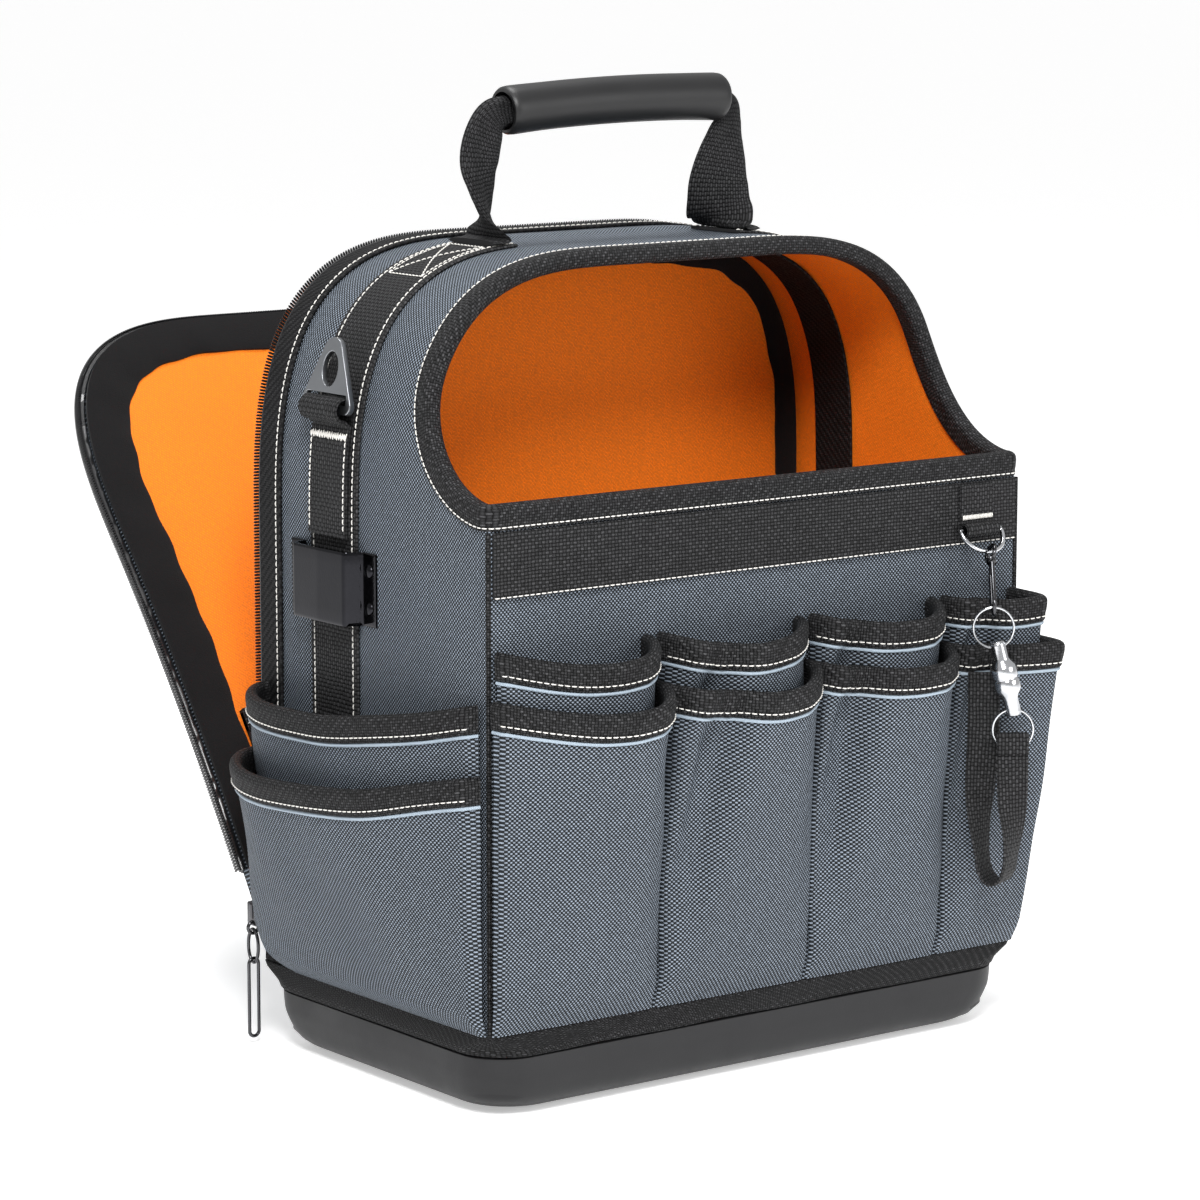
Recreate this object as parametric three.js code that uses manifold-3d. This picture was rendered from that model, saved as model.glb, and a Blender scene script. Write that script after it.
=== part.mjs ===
// Open top tool tote: a stiff woven body on a moulded base, with an arched gusset, a back flap,
// pockets on the front and sides, a strap handle and a hanging strap for a roll of tape.
// Millimetres, +Z up, +Y towards the back, +X towards the body's right seen from the front.
// The origin is the centre of the base's underside.
import * as THREE from 'three';
import { mergeVertices } from 'three/addons/utils/BufferGeometryUtils.js';
import Module from 'manifold-3d';

const wasm = await Module();
wasm.setup();

// Body sizes
const bodyWidth = 326;
const bodyDepth = 193;
const tubHeight = 30;
const baseBindingHeight = 13;
const frontHeight = 291;
const crownHeight = 400;
const shoulderRun = 120;
const shoulderRise = 137;
const shoulderPower = 3;
const rimRun = 57;
const rimRise = 60;

// Cloth and binding sizes
const wallThickness = 5;
const dividerThickness = 4;
const clothThickness = 2.5;
const webbingThickness = 1.5;
const bindingThickness = 1.6;
const rimBindingHeight = 12;
const mouthBindingHeight = 11;
const strapWidth = 40;
const frontWebbingHeight = 31;

// Clearance between pieces that touch on the real tote, and inside a folded binding
const fit = 0.3;
const foldFit = 0.5;

// Tub sizes
const tubWall = 4;
const tubTopCorner = 24;
const tubFootCorner = 34;
const tubFootRun = 22;
const tubLeastCorner = 6;
const tubCornerLoss = 0.6;
const baseBindingStand = 1.6;
const floorPanelThickness = 5;
const floorInset = 18;
const wallCorner = 4;

// Inside sizes
const dividerFromBack = 25;
const dividerBindingWidth = 12;
const gussetTapeFromBack = 73;
const gussetTapeWidth = 29;

// Zip sizes
const zipTapeWidth = 18;
const zipCoilRadius = 2.6;
const zipLowEnd = 72;

// Flap sizes
const flapHinge = 53;
const flapLength = 360;
const flapStart = 18;
const flapLean = 31;
const flapBow = 7.5;
const flapThickness = 6;
const flapBindingWidth = 24;
const flapPocketMouths = [118, 92];
const flapPocketDepths = [9, 16];
const flapPocketInset = 20;

// Pocket sizes
const innerMouthDrop = 68;
const outerMouthDrop = 90;
const innerDepth = 24;
const outerDepth = 29;
const sideInnerMouthDrop = 93;
const sideOuterMouthDrop = 126;
const pocketSeam = 2.4;
const innerPocketInset = 5.6;
const mouthStandOff = 2.2;
const sidePocketSag = 8;
const sidePocketTail = 14;
const sidePocketCorner = 26;

// Strap and handle sizes
const strapFromBack = 68;
const strapFoot = 66;
const handleFootSpan = 146;
const handleLap = 14;
const handleStrapThickness = 3;
const gripLength = 134;
const gripRadius = 12;
const gripWall = 2.6;
const gripAbove = 66;
const gripRise = 2;
const gripTilt = 3;
const gripShift = 4;
const gripFill = [1.3, 0.85];

// Triangle ring and webbing loop sizes
const ringHeight = 325;
const ringWidth = 42;
const ringLength = 34;
const ringThickness = 3;
const ringApexRadius = 8;
const ringCornerRadius = 4;
const ringBarHeight = 4.4;
const ringEyeWidth = 13;
const ringEyeHeight = 17;
const loopRadius = 6.6;
const loopBore = 3;
const loopWidth = 33;
const loopTail = 60;

// Tape clip sizes
const clipWidth = 72;
const clipHeight = 36;
const clipStand = 9;
const clipSheet = 1.6;
const clipTop = 260;
const clipEarWidth = 11;
const rivetRadius = 3.5;
const rivetCrown = 0.7;
const rivetLift = 2.08;
const rivetShares = [0.25, 0.75];

// Zip slider sizes
const sliderThickness = 6;
const sliderWidth = 9;
const sliderHeight = 12;
const sliderPlace = 66;
const sliderEyeRadius = 3;
const pullWire = 0.9;
const pullRingWidth = 9;
const pullRingHeight = 17;
const pullWidth = 5.6;
const pullLength = 40;

// Chain and hanging strap sizes
const tabPlace = 134;
const tabWidth = 22;
const tabDrop = 22;
const tabRollRadius = 3.6;
const tabRingDrop = 13;
const tabRingLean = 38;
const chainWire = 1.1;
const hangTurn = 37;
const upperRingPlace = 116;
const upperRingStand = 36.5;
const upperRingAboveMouth = 12;
const hookEyeRadius = 4;
const hookNeckRadius = 2.6;
const hookWidth = 9;
const splitRingRadius = 10;
const magnetTilt = 14;
const magnetReach = 32;
const magnetRadius = 6.6;
const magnetKnob = 3.8;
const tapeStrapPlace = 117.9;
const tapeStrapStand = 28.1;
const tapeStrapBelowMouth = 11.5;
const tapeStrapWidth = 16;
const tapeStrapDrop = 105.5;

// Places worked out from the sizes
const halfWidth = bodyWidth / 2;
const frontFace = -bodyDepth / 2;
const backFace = bodyDepth / 2;
const wallFoot = tubHeight + baseBindingHeight + fit;
const shoulderHeight = crownHeight - shoulderRise;
const frontInner = frontFace + wallThickness + fit;
const rimCrownY = frontFace + rimRun;
const strapY = backFace - strapFromBack;
const dividerY = backFace - dividerFromBack;
const gussetBack = backFace - zipCoilRadius - 2 * fit;
const innerMouthHeight = frontHeight - innerMouthDrop;
const outerMouthHeight = frontHeight - outerMouthDrop;
const gripHeight = crownHeight + gripAbove;
const degree = Math.PI / 180;

// Colours
const fabricColour = 0x5f6976;
const blackColour = 0x1e1d1e;
const orangeColour = 0xff7d14;
const tubColour = 0x2c2c2c;
const chromeColour = 0xc4c6c8;
const gunmetalColour = 0x4a4a4c;
const pewterColour = 0x6d7074;

const cloth = (color) => new THREE.MeshStandardMaterial({ color, roughness: 0.9, metalness: 0 });
const metal = (color) => new THREE.MeshStandardMaterial({ color, roughness: 0.3, metalness: 1 });
const rubber = (color) => new THREE.MeshStandardMaterial({ color, roughness: 0.6, metalness: 0 });

const tote = new THREE.Group();

// Adds one named piece
function addPiece(name, geometry, material, parent = tote) {
  const mesh = new THREE.Mesh(geometry, material);
  mesh.name = name;
  parent.add(mesh);
  return mesh;
}

const point = (x, y, z) => new THREE.Vector3(x, y, z);

// Point at a share of the way between two numbers
const between = (low, high, share) => low + (high - low) * share;

// Closed geometry from points and triangles, turned so that its faces point out
function closedGeometry(points, triangles) {
  let volume = 0;
  for (const [a, b, c] of triangles) {
    volume += points[a].dot(points[b].clone().cross(points[c]));
  }
  const index = [];
  for (const [a, b, c] of triangles) {
    index.push(...(volume > 0 ? [a, b, c] : [a, c, b]));
  }
  const geometry = new THREE.BufferGeometry();
  geometry.setAttribute(
    'position', new THREE.Float32BufferAttribute(points.flatMap((p) => [p.x, p.y, p.z]), 3));
  geometry.setIndex(index);
  return geometry;
}

// Sheet with two faces: rows of [outer, inner] point pairs, closed round its edges
function sheet(rows, closed = false) {
  const columns = rows[0].length;
  const points = rows.flat(2);
  const at = (row, column, face) => 2 * ((row % rows.length) * columns + column) + face;
  const triangles = [];
  const quad = (a, b, c, d) => triangles.push([a, b, c], [a, c, d]);
  const lastRow = closed ? rows.length : rows.length - 1;
  for (let i = 0; i < lastRow; i += 1) {
    for (let j = 0; j < columns - 1; j += 1) {
      quad(at(i, j, 0), at(i + 1, j, 0), at(i + 1, j + 1, 0), at(i, j + 1, 0));
      quad(at(i, j, 1), at(i, j + 1, 1), at(i + 1, j + 1, 1), at(i + 1, j, 1));
    }
    quad(at(i, 0, 0), at(i, 0, 1), at(i + 1, 0, 1), at(i + 1, 0, 0));
    const edge = columns - 1;
    quad(at(i, edge, 0), at(i + 1, edge, 0), at(i + 1, edge, 1), at(i, edge, 1));
  }
  if (!closed) {
    const end = rows.length - 1;
    for (let j = 0; j < columns - 1; j += 1) {
      quad(at(0, j, 0), at(0, j + 1, 0), at(0, j + 1, 1), at(0, j, 1));
      quad(at(end, j, 0), at(end, j, 1), at(end, j + 1, 1), at(end, j + 1, 0));
    }
  }
  return closedGeometry(points, triangles);
}

// Solid through a row of like sections, capped at both ends or joined into a ring
function loft(sections, closed = false) {
  const sides = sections[0].length;
  const points = sections.flat();
  const at = (row, side) => (row % sections.length) * sides + (side % sides);
  const triangles = [];
  const lastRow = closed ? sections.length : sections.length - 1;
  for (let i = 0; i < lastRow; i += 1) {
    for (let j = 0; j < sides; j += 1) {
      triangles.push([at(i, j), at(i + 1, j), at(i + 1, j + 1)]);
      triangles.push([at(i, j), at(i + 1, j + 1), at(i, j + 1)]);
    }
  }
  if (!closed) {
    const end = sections.length - 1;
    for (let j = 1; j < sides - 1; j += 1) {
      triangles.push([at(0, 0), at(0, j), at(0, j + 1)]);
      triangles.push([at(end, 0), at(end, j + 1), at(end, j)]);
    }
  }
  return closedGeometry(points, triangles);
}

// Round bar along points that lie in one plane, given the plane's normal
function bar(points, radius, sides, planeNormal, closed = false) {
  const count = points.length;
  const sections = points.map((p, i) => {
    const ahead = closed ? points[(i + 1) % count] : points[Math.min(i + 1, count - 1)];
    const behind = closed ? points[(i + count - 1) % count] : points[Math.max(i - 1, 0)];
    const along = ahead.clone().sub(behind).normalize();
    const across = along.clone().cross(planeNormal).normalize();
    return Array.from({ length: sides }, (_, k) => {
      const turn = (2 * Math.PI * (k + 0.5)) / sides;
      return p.clone()
        .addScaledVector(across, radius * Math.cos(turn))
        .addScaledVector(planeNormal, radius * Math.sin(turn));
    });
  });
  return loft(sections, closed);
}

// Flat band through stations, each a middle point, a direction across and a facing direction
function band(stations, thickness) {
  return sheet(stations.map(({ middle, across, facing, width }) => [-1, 1].map((side) => [1, -1].map(
    (face) => middle.clone()
      .addScaledVector(across, (side * width) / 2)
      .addScaledVector(facing, (face * thickness) / 2)))));
}

// Place beside an edge, so far out from the cloth's middle and so far down from the edge
const besideEdge = (edge, out, down) => (outward, inward) => edge.clone()
  .addScaledVector(out, outward)
  .addScaledVector(down, inward);

// Binding folded over an edge, given a place function for each station along it
function foldedBinding(places, halfCloth, height, closed = false) {
  const clear = halfCloth + foldFit;
  const full = clear + bindingThickness;
  const top = -fit - bindingThickness;
  return sheet(places.map((place) => [
    [place(full, height), place(clear, height)],
    [place(full, top), place(clear, -fit)],
    [place(-full, top), place(-clear, -fit)],
    [place(-full, height), place(-clear, height)],
  ]), closed);
}

// Joins solids into one body, less what the cutters take away
function fuse(geometries, cutters = []) {
  const solidOf = (geometry) => {
    const bare = geometry.clone();
    bare.deleteAttribute('normal');
    bare.deleteAttribute('uv');
    const merged = mergeVertices(bare, 1e-4);
    return new wasm.Manifold(new wasm.Mesh({
      numProp: 3,
      vertProperties: Float32Array.from(merged.attributes.position.array),
      triVerts: Uint32Array.from(merged.index.array),
    }));
  };
  const whole = geometries.map(solidOf).reduce((sum, solid) => sum.add(solid));
  const joined = cutters.map(solidOf).reduce((rest, cutter) => rest.subtract(cutter), whole)
    .getMesh();
  const geometry = new THREE.BufferGeometry();
  geometry.setAttribute('position', new THREE.BufferAttribute(joined.vertProperties, 3));
  geometry.setIndex(new THREE.BufferAttribute(joined.triVerts, 1));
  return geometry;
}

const boxAt = (width, depth, height, x, y, z) => new THREE.BoxGeometry(width, depth, height)
  .translate(x, y, z);

// Arch of the body seen from the front
const insetAt = (height) => {
  const share = Math.min(1, Math.max(0, (height - shoulderHeight) / shoulderRise));
  return shoulderRun * (1 - (1 - share ** shoulderPower) ** (1 / shoulderPower));
};

const lowShares = [0, 0.35, 0.7, 1];
const rimTurns = [15, 32, 47, 60, 70, 80, 90];
const highShares = [0.28, 0.53, 0.75, 0.88, 0.968, 1];
const rimTop = frontHeight + rimRise;
const sideHeights = [
  ...lowShares.map((share) => between(wallFoot, frontHeight, share)),
  ...rimTurns.map((turn) => frontHeight + rimRise * (1 - Math.cos(turn * degree))),
  ...highShares.map((share) => between(rimTop, crownHeight, share)),
];

// Stations of the arch from the left foot over the crown to the right foot
const leftArch = sideHeights.map((z) => ({ x: -(halfWidth - insetAt(z)), z }));
const archLine = [...leftArch, ...leftArch.toReversed().map(({ x, z }) => ({ x: -x, z }))];

// Adds the outward way of each station, square to the line through its neighbours
function withNormals(line) {
  return line.map((station, i) => {
    const ahead = line[Math.min(i + 1, line.length - 1)];
    const behind = line[Math.max(i - 1, 0)];
    const run = ahead.x - behind.x;
    const rise = ahead.z - behind.z;
    const length = Math.hypot(run, rise);
    return { ...station, nx: -rise / length, nz: run / length };
  });
}

const arch = withNormals(archLine);
const archPoint = ({ x, z, nx, nz }, offset, y) => point(x + nx * offset, y, z + nz * offset);

// Arch station at a height on one side, on the straight line between its neighbours
function onArch(side, height) {
  const left = arch.slice(0, sideHeights.length);
  const above = Math.max(1, left.findIndex(({ z }) => z >= height - fit / 100));
  const low = left[above - 1];
  const high = left[above];
  const share = (height - low.z) / (high.z - low.z);
  const mix = (key) => between(low[key], high[key], share);
  return { x: -side * mix('x'), z: height, nx: -side * mix('nx'), nz: mix('nz') };
}

// Arch stations above a height, with one at that height on each side
function archAbove(low) {
  const side = [low, ...sideHeights.filter((z) => z > low + 1)];
  const left = side.map((z) => ({ x: -(halfWidth - insetAt(z)), z }));
  return withNormals([...left, ...left.toReversed().map(({ x, z }) => ({ x: -x, z }))]);
}

// Place of the opening's rim at a height, from the front
function rimY(height) {
  if (height >= rimTop) return rimCrownY;
  const turn = Math.acos(1 - Math.max(0, height - frontHeight) / rimRise);
  return frontFace + rimRun * Math.sin(turn);
}

// Rounded rectangle as a ring of points
function roundedRing(halfX, halfY, corner, z, turns = 6) {
  const ring = [];
  const corners = [[1, 1, 0], [-1, 1, 90], [-1, -1, 180], [1, -1, 270]];
  for (const [signX, signY, start] of corners) {
    for (let k = 0; k <= turns; k += 1) {
      const turn = (start + (90 * k) / turns) * degree;
      ring.push(point(
        signX * (halfX - corner) + corner * Math.cos(turn),
        signY * (halfY - corner) + corner * Math.sin(turn), z));
    }
  }
  return ring;
}

// Moulded base tub: inside floor, up its inner wall, over the rim and round the foot
const tubProfile = [
  { inset: 3, corner: 0.7, height: 0, inner: true },
  { inset: 0, corner: 0.85, height: 0.35, inner: true },
  { inset: 0, corner: 1, height: 1, inner: true },
  { inset: 0, corner: 1, height: 1 },
  { inset: 0.02, corner: 0.75, height: 0.6 },
  { inset: 0.14, corner: 0.4, height: 0.3 },
  { inset: 0.36, corner: 0.25, height: 0.13 },
  { inset: 0.68, corner: 0.1, height: 0.03 },
  { inset: 1, corner: 0, height: 0 },
];
const tubRings = tubProfile.map(({ inset, corner, height, inner }) => {
  const wall = inner ? tubWall : 0;
  const step = inner ? inset * tubWall : inset * tubFootRun;
  const radius = Math.max(
    between(tubFootCorner, tubTopCorner, corner) - wall - step * tubCornerLoss, tubLeastCorner);
  const z = inner ? between(tubWall, tubHeight, height) : tubHeight * height;
  return roundedRing(halfWidth - wall - step, bodyDepth / 2 - wall - step, radius, z);
});
addPiece('base_tub', loft(tubRings), rubber(tubColour));

// Stiff floor panel inside the tub
const floorRings = [fit, fit + floorPanelThickness].map((lift) => roundedRing(
  halfWidth - floorInset, bodyDepth / 2 - floorInset, tubTopCorner / 2, tubWall + lift, 3));
addPiece('floor_panel', loft(floorRings), cloth(orangeColour));

// Woven binding between the tub and the body walls
const bindingFoot = tubHeight + fit;
const bindingTop = bindingFoot + baseBindingHeight - fit;
const bindingRing = (stand, corner, z) => roundedRing(
  halfWidth + stand, bodyDepth / 2 + stand, corner, z);
const outerFootRing = bindingRing(baseBindingStand, tubTopCorner + baseBindingStand, bindingFoot);
const outerTopRing = bindingRing(baseBindingStand, wallCorner + baseBindingStand, bindingTop);
const innerFootRing = bindingRing(-wallThickness, tubTopCorner - wallThickness, bindingFoot);
const innerTopRing = bindingRing(-wallThickness, wallCorner, bindingTop);
addPiece('base_binding', sheet(outerFootRing.map((_, i) => [
  [outerFootRing[i], innerFootRing[i]],
  [outerTopRing[i], innerTopRing[i]],
]), true), cloth(blackColour));

// Front wall panel
const frontRows = arch.slice(0, lowShares.length);
addPiece('front_wall', sheet(frontRows.map(({ x, z }) => [x, -x].map(
  (edge) => [0, wallThickness].map((depth) => point(edge, frontFace + depth, z))))),
cloth(fabricColour));

// Gusset: up the left side, over the crown and down the right side
addPiece('gusset_band', sheet(arch.map((station) => {
  const front = Math.max(frontInner, rimY(station.z));
  return [front, gussetBack].map((y) => [0, -wallThickness].map(
    (offset) => archPoint(station, offset, y)));
})), cloth(fabricColour));

// Binding round the opening's rim: the side curves, the crown and the front edge
const halfWall = wallThickness / 2;
const rimStations = arch.filter(({ z }) => z > frontHeight + 1).map((station) => (
  { ...station, edge: archPoint(station, -halfWall, rimY(station.z)) }));
const rimCurve = rimStations.map(({ edge, x, z, nx, nz }, i) => {
  const ahead = rimStations[Math.min(i + 1, rimStations.length - 1)].edge;
  const behind = rimStations[Math.max(i - 1, 0)].edge;
  const out = point(nx, 0, nz);
  const down = out.clone().cross(ahead.clone().sub(behind)).normalize();
  return (outward, inward) => {
    const drop = z < rimTop ? down.z * inward : 0;
    const run = z < rimTop ? down.y * inward : inward;
    const station = drop === 0 ? { x, z, nx, nz } : onArch(Math.sign(x), z + drop);
    return archPoint(station, outward - halfWall, edge.y + run);
  };
});
const straightDown = point(0, 0, -1);
const rimHalfWidth = halfWidth - insetAt(frontHeight);
const frontCorner = (side) => (outward, inward) => {
  const { x } = onArch(side, frontHeight - Math.max(inward, 0));
  return point(
    x + side * (outward - halfWall), frontFace + halfWall - outward, frontHeight - inward);
};
const frontEdge = [0.5, -0.5].map((share) => besideEdge(
  point(share * rimHalfWidth, frontFace + halfWall, frontHeight), point(0, -1, 0), straightDown));
addPiece('rim_binding', foldedBinding(
  [frontCorner(-1), ...rimCurve, frontCorner(1), ...frontEdge],
  halfWall, rimBindingHeight, true), cloth(blackColour));

// Webbing band across the front under the rim
const webbingTop = frontHeight - rimBindingHeight - fit;
addPiece('front_webbing', boxAt(
  bodyWidth - 2 * pocketSeam, webbingThickness, frontWebbingHeight,
  0, frontFace - fit - webbingThickness / 2, webbingTop - frontWebbingHeight / 2),
cloth(blackColour));

// Divider between the main and the back compartment, with its binding
const liningOffset = -wallThickness - fit;
const dividerFoot = tubWall + floorPanelThickness + 3 * fit;
const dividerLow = { x: -(halfWidth - floorInset), z: dividerFoot, nx: -1, nz: 0 };
const dividerRows = [
  dividerLow,
  { ...dividerLow, z: tubHeight },
  ...arch.filter(({ x }) => x < 0),
];
addPiece('divider_panel', sheet(dividerRows.map((station) => {
  const inset = station.z < wallFoot ? 0 : liningOffset;
  const edge = archPoint(station, inset, dividerY);
  return [edge, point(-edge.x, edge.y, edge.z)].map((corner) => [
    corner, point(corner.x, dividerY + dividerThickness, corner.z)]);
})), cloth(orangeColour));

const inside = archAbove(wallFoot + floorInset);
const bindingFace = dividerY - fit;
addPiece('divider_binding', sheet(inside.map((station) => [0, dividerBindingWidth].map((width) => (
  [bindingFace - bindingThickness, bindingFace].map(
    (y) => archPoint(station, liningOffset - fit - width, y)))))), cloth(blackColour));

// Seam tape round the inside of the gusset
const gussetTapeFront = backFace - gussetTapeFromBack;
addPiece('gusset_tape', sheet(inside.map((station) => [0, gussetTapeWidth].map((width) => (
  [0, -webbingThickness].map(
    (offset) => archPoint(station, liningOffset + offset, gussetTapeFront + width)))))),
cloth(blackColour));

// Zip round the body's back edge: woven tape with the coil along it
const zipTapeBack = gussetBack;
addPiece('body_zip_tape', sheet(archAbove(wallFoot + fit).map((station) => [0, zipTapeWidth].map(
  (width) => [webbingThickness, 0].map(
    (offset) => archPoint(station, fit + offset, zipTapeBack - width))))), cloth(blackColour));
const coilY = backFace - zipCoilRadius + 2 * fit;
addPiece('body_zip_coil', bar(
  archAbove(zipLowEnd).map((station) => archPoint(station, -zipCoilRadius, coilY + zipCoilRadius)),
  zipCoilRadius, 6, point(0, 1, 0)), cloth(blackColour));

// Flap: its own flat outline in width and height, then laid along a bowed leaning line
function flapPoint(x, height, lift) {
  if (height <= 0) return point(x, backFace - lift, flapHinge + height);
  const leanAt = (h) => (flapLean + (flapBow * h) / flapLength) * degree;
  const place = (h) => [backFace + h * Math.sin(leanAt(h)), flapHinge + h * Math.cos(leanAt(h))];
  const [y, z] = place(height);
  const [nextY, nextZ] = place(height + 1);
  const length = Math.hypot(nextY - y, nextZ - z);
  return point(x, y - (lift * (nextZ - z)) / length, z + (lift * (nextY - y)) / length);
}

const openingLength = crownHeight - flapHinge;
const flapLowShares = [0.14, 0.35, 0.6];
const flapHeights = [
  ...flapLowShares.map((share) => flapLength * share),
  ...rimTurns.map((turn) => frontHeight + rimRise * (1 - Math.cos(turn * degree))).map(
    (z) => ((z - flapHinge) * flapLength) / openingLength),
  ...highShares.map((share) => (
    (between(rimTop, crownHeight, share) - flapHinge) * flapLength) / openingLength),
];
const flapHalfWidth = (height) => halfWidth - insetAt(
  flapHinge + (height * openingLength) / flapLength);
const hingeHalfWidth = halfWidth - wallThickness - 2 * fit;
const flapRows = [
  { height: wallFoot + fit - flapHinge, half: hingeHalfWidth },
  { height: 0, half: hingeHalfWidth },
  { height: flapStart / 2, half: hingeHalfWidth },
  { height: flapStart, half: halfWidth },
  ...flapHeights.map((height) => ({ height, half: flapHalfWidth(height) })),
];
addPiece('flap_panel', sheet(flapRows.map(({ height, half }) => [-half, half].map(
  (x) => [0, flapThickness].map((lift) => flapPoint(x, height, lift))))), cloth(orangeColour));

// Flap edge stations from low on the left, over the top and down the right
const flapSide = [flapStart + zipTapeWidth, ...flapHeights].map((height) => (
  { x: -flapHalfWidth(height), z: height }));
const flapEdge = withNormals([
  ...flapSide, ...flapSide.toReversed().map(({ x, z }) => ({ x: -x, z }))]);
const flapEdgePoint = ({ x, z, nx, nz }, offset, lift) => flapPoint(
  x + nx * offset, z + nz * offset, lift);
addPiece('flap_binding', sheet(flapEdge.map((station) => [0, -flapBindingWidth].map((offset) => (
  [2, 1].map((layer) => flapEdgePoint(
    station, offset, flapThickness + fit + (layer - 1) * bindingThickness)))))),
cloth(blackColour));

// Coil along the flap's edge
const coilSides = 6;
addPiece('flap_zip_coil', loft(flapEdge.map((station) => Array.from(
  { length: coilSides }, (_, k) => {
    const turn = (2 * Math.PI * (k + 0.5)) / coilSides;
    return flapEdgePoint(
      station, fit + zipCoilRadius * (1 + Math.cos(turn)),
      flapThickness / 2 + zipCoilRadius * Math.sin(turn));
  }))), cloth(blackColour));

// Two pockets on the flap's inner face
const flapPocketFoot = flapStart + zipTapeWidth;
const flapPocketPlan = [
  { along: -1, out: 0 }, { along: -0.88, out: 0.75 }, { along: -0.5, out: 1 },
  { along: 0.5, out: 1 }, { along: 0.88, out: 0.75 }, { along: 1, out: 0 },
];
['flap_pocket_upper', 'flap_pocket_lower'].forEach((name, layer) => {
  const base = flapThickness + fit + layer * (clothThickness + fit);
  const half = halfWidth - flapPocketInset - (1 - layer) * innerPocketInset;
  const mouth = flapPocketMouths[layer];
  addPiece(name, sheet([0, 0.5, 1].map((share) => flapPocketPlan.map(({ along, out }) => (
    [clothThickness, 0].map((lift) => flapPoint(
      half * along, between(flapPocketFoot, mouth, share),
      base + lift + out * share * flapPocketDepths[layer])))))), cloth(blackColour));
});

// Pockets: plans hold how far along its width and how far out each fold stands, as shares
const cornerPlan = [
  { along: 0, out: 0 }, { along: 0.15, out: 0.3 }, { along: 0.4, out: 0.72 },
  { along: 0.62, out: 0.96 }, { along: 0.76, out: 1 }, { along: 0.86, out: 0.78 },
  { along: 0.94, out: 0.42 }, { along: 1, out: 0 },
];
const creasedPlan = [
  { along: 0, out: 0 }, { along: 0.03, out: 0.55 }, { along: 0.08, out: 0.92 },
  { along: 0.25, out: 1 }, { along: 0.55, out: 1 }, { along: 0.72, out: 0.92 },
  { along: 0.84, out: 0.66 }, { along: 0.93, out: 0.34 }, { along: 1, out: 0 },
];
const shallowPlan = [
  { along: 0, out: 0 }, { along: 0.03, out: 0.36 }, { along: 0.08, out: 0.6 },
  { along: 0.3, out: 0.76 }, { along: 0.55, out: 0.92 }, { along: 0.72, out: 0.94 },
  { along: 0.86, out: 0.68 }, { along: 0.94, out: 0.36 }, { along: 1, out: 0 },
];
const endPlan = [
  { along: 0, out: 0 }, { along: 0.04, out: 0.4 }, { along: 0.1, out: 0.6 },
  { along: 0.4, out: 0.76 }, { along: 0.8, out: 0.95 }, { along: 0.93, out: 1 },
  { along: 0.985, out: 0.85 }, { along: 1, out: 0 },
];
const sidePlan = [
  { along: 0, out: 0 }, { along: 0.12, out: 0.34 }, { along: 0.3, out: 0.72 },
  { along: 0.5, out: 0.94 }, { along: 0.7, out: 1 }, { along: 0.8, out: 0.92 },
  { along: 0.88, out: 0.73 }, { along: 0.95, out: 0.42 }, { along: 1, out: 0 },
];

// Front pockets by the shares of the body width that they start and end at
const frontPockets = [
  { name: 'front_pocket_1', from: 0, to: 0.29, plan: cornerPlan, sag: 7 },
  { name: 'front_pocket_2', from: 0.29, to: 0.575, plan: creasedPlan, sag: 6 },
  { name: 'front_pocket_3', from: 0.575, to: 0.835, plan: shallowPlan, sag: 5 },
  { name: 'front_pocket_4', from: 0.835, to: 1, plan: endPlan, sag: 1 },
];

// Longest share that a fold's corner may stand out by
const mostMiter = 1.4;

// Heights of the rows low on a pocket, as shares, where its foot is rounded and where straight
const roundedRises = [0, 0.06, 0.14, 0.5];
const straightRises = [0, 0.45];

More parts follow.
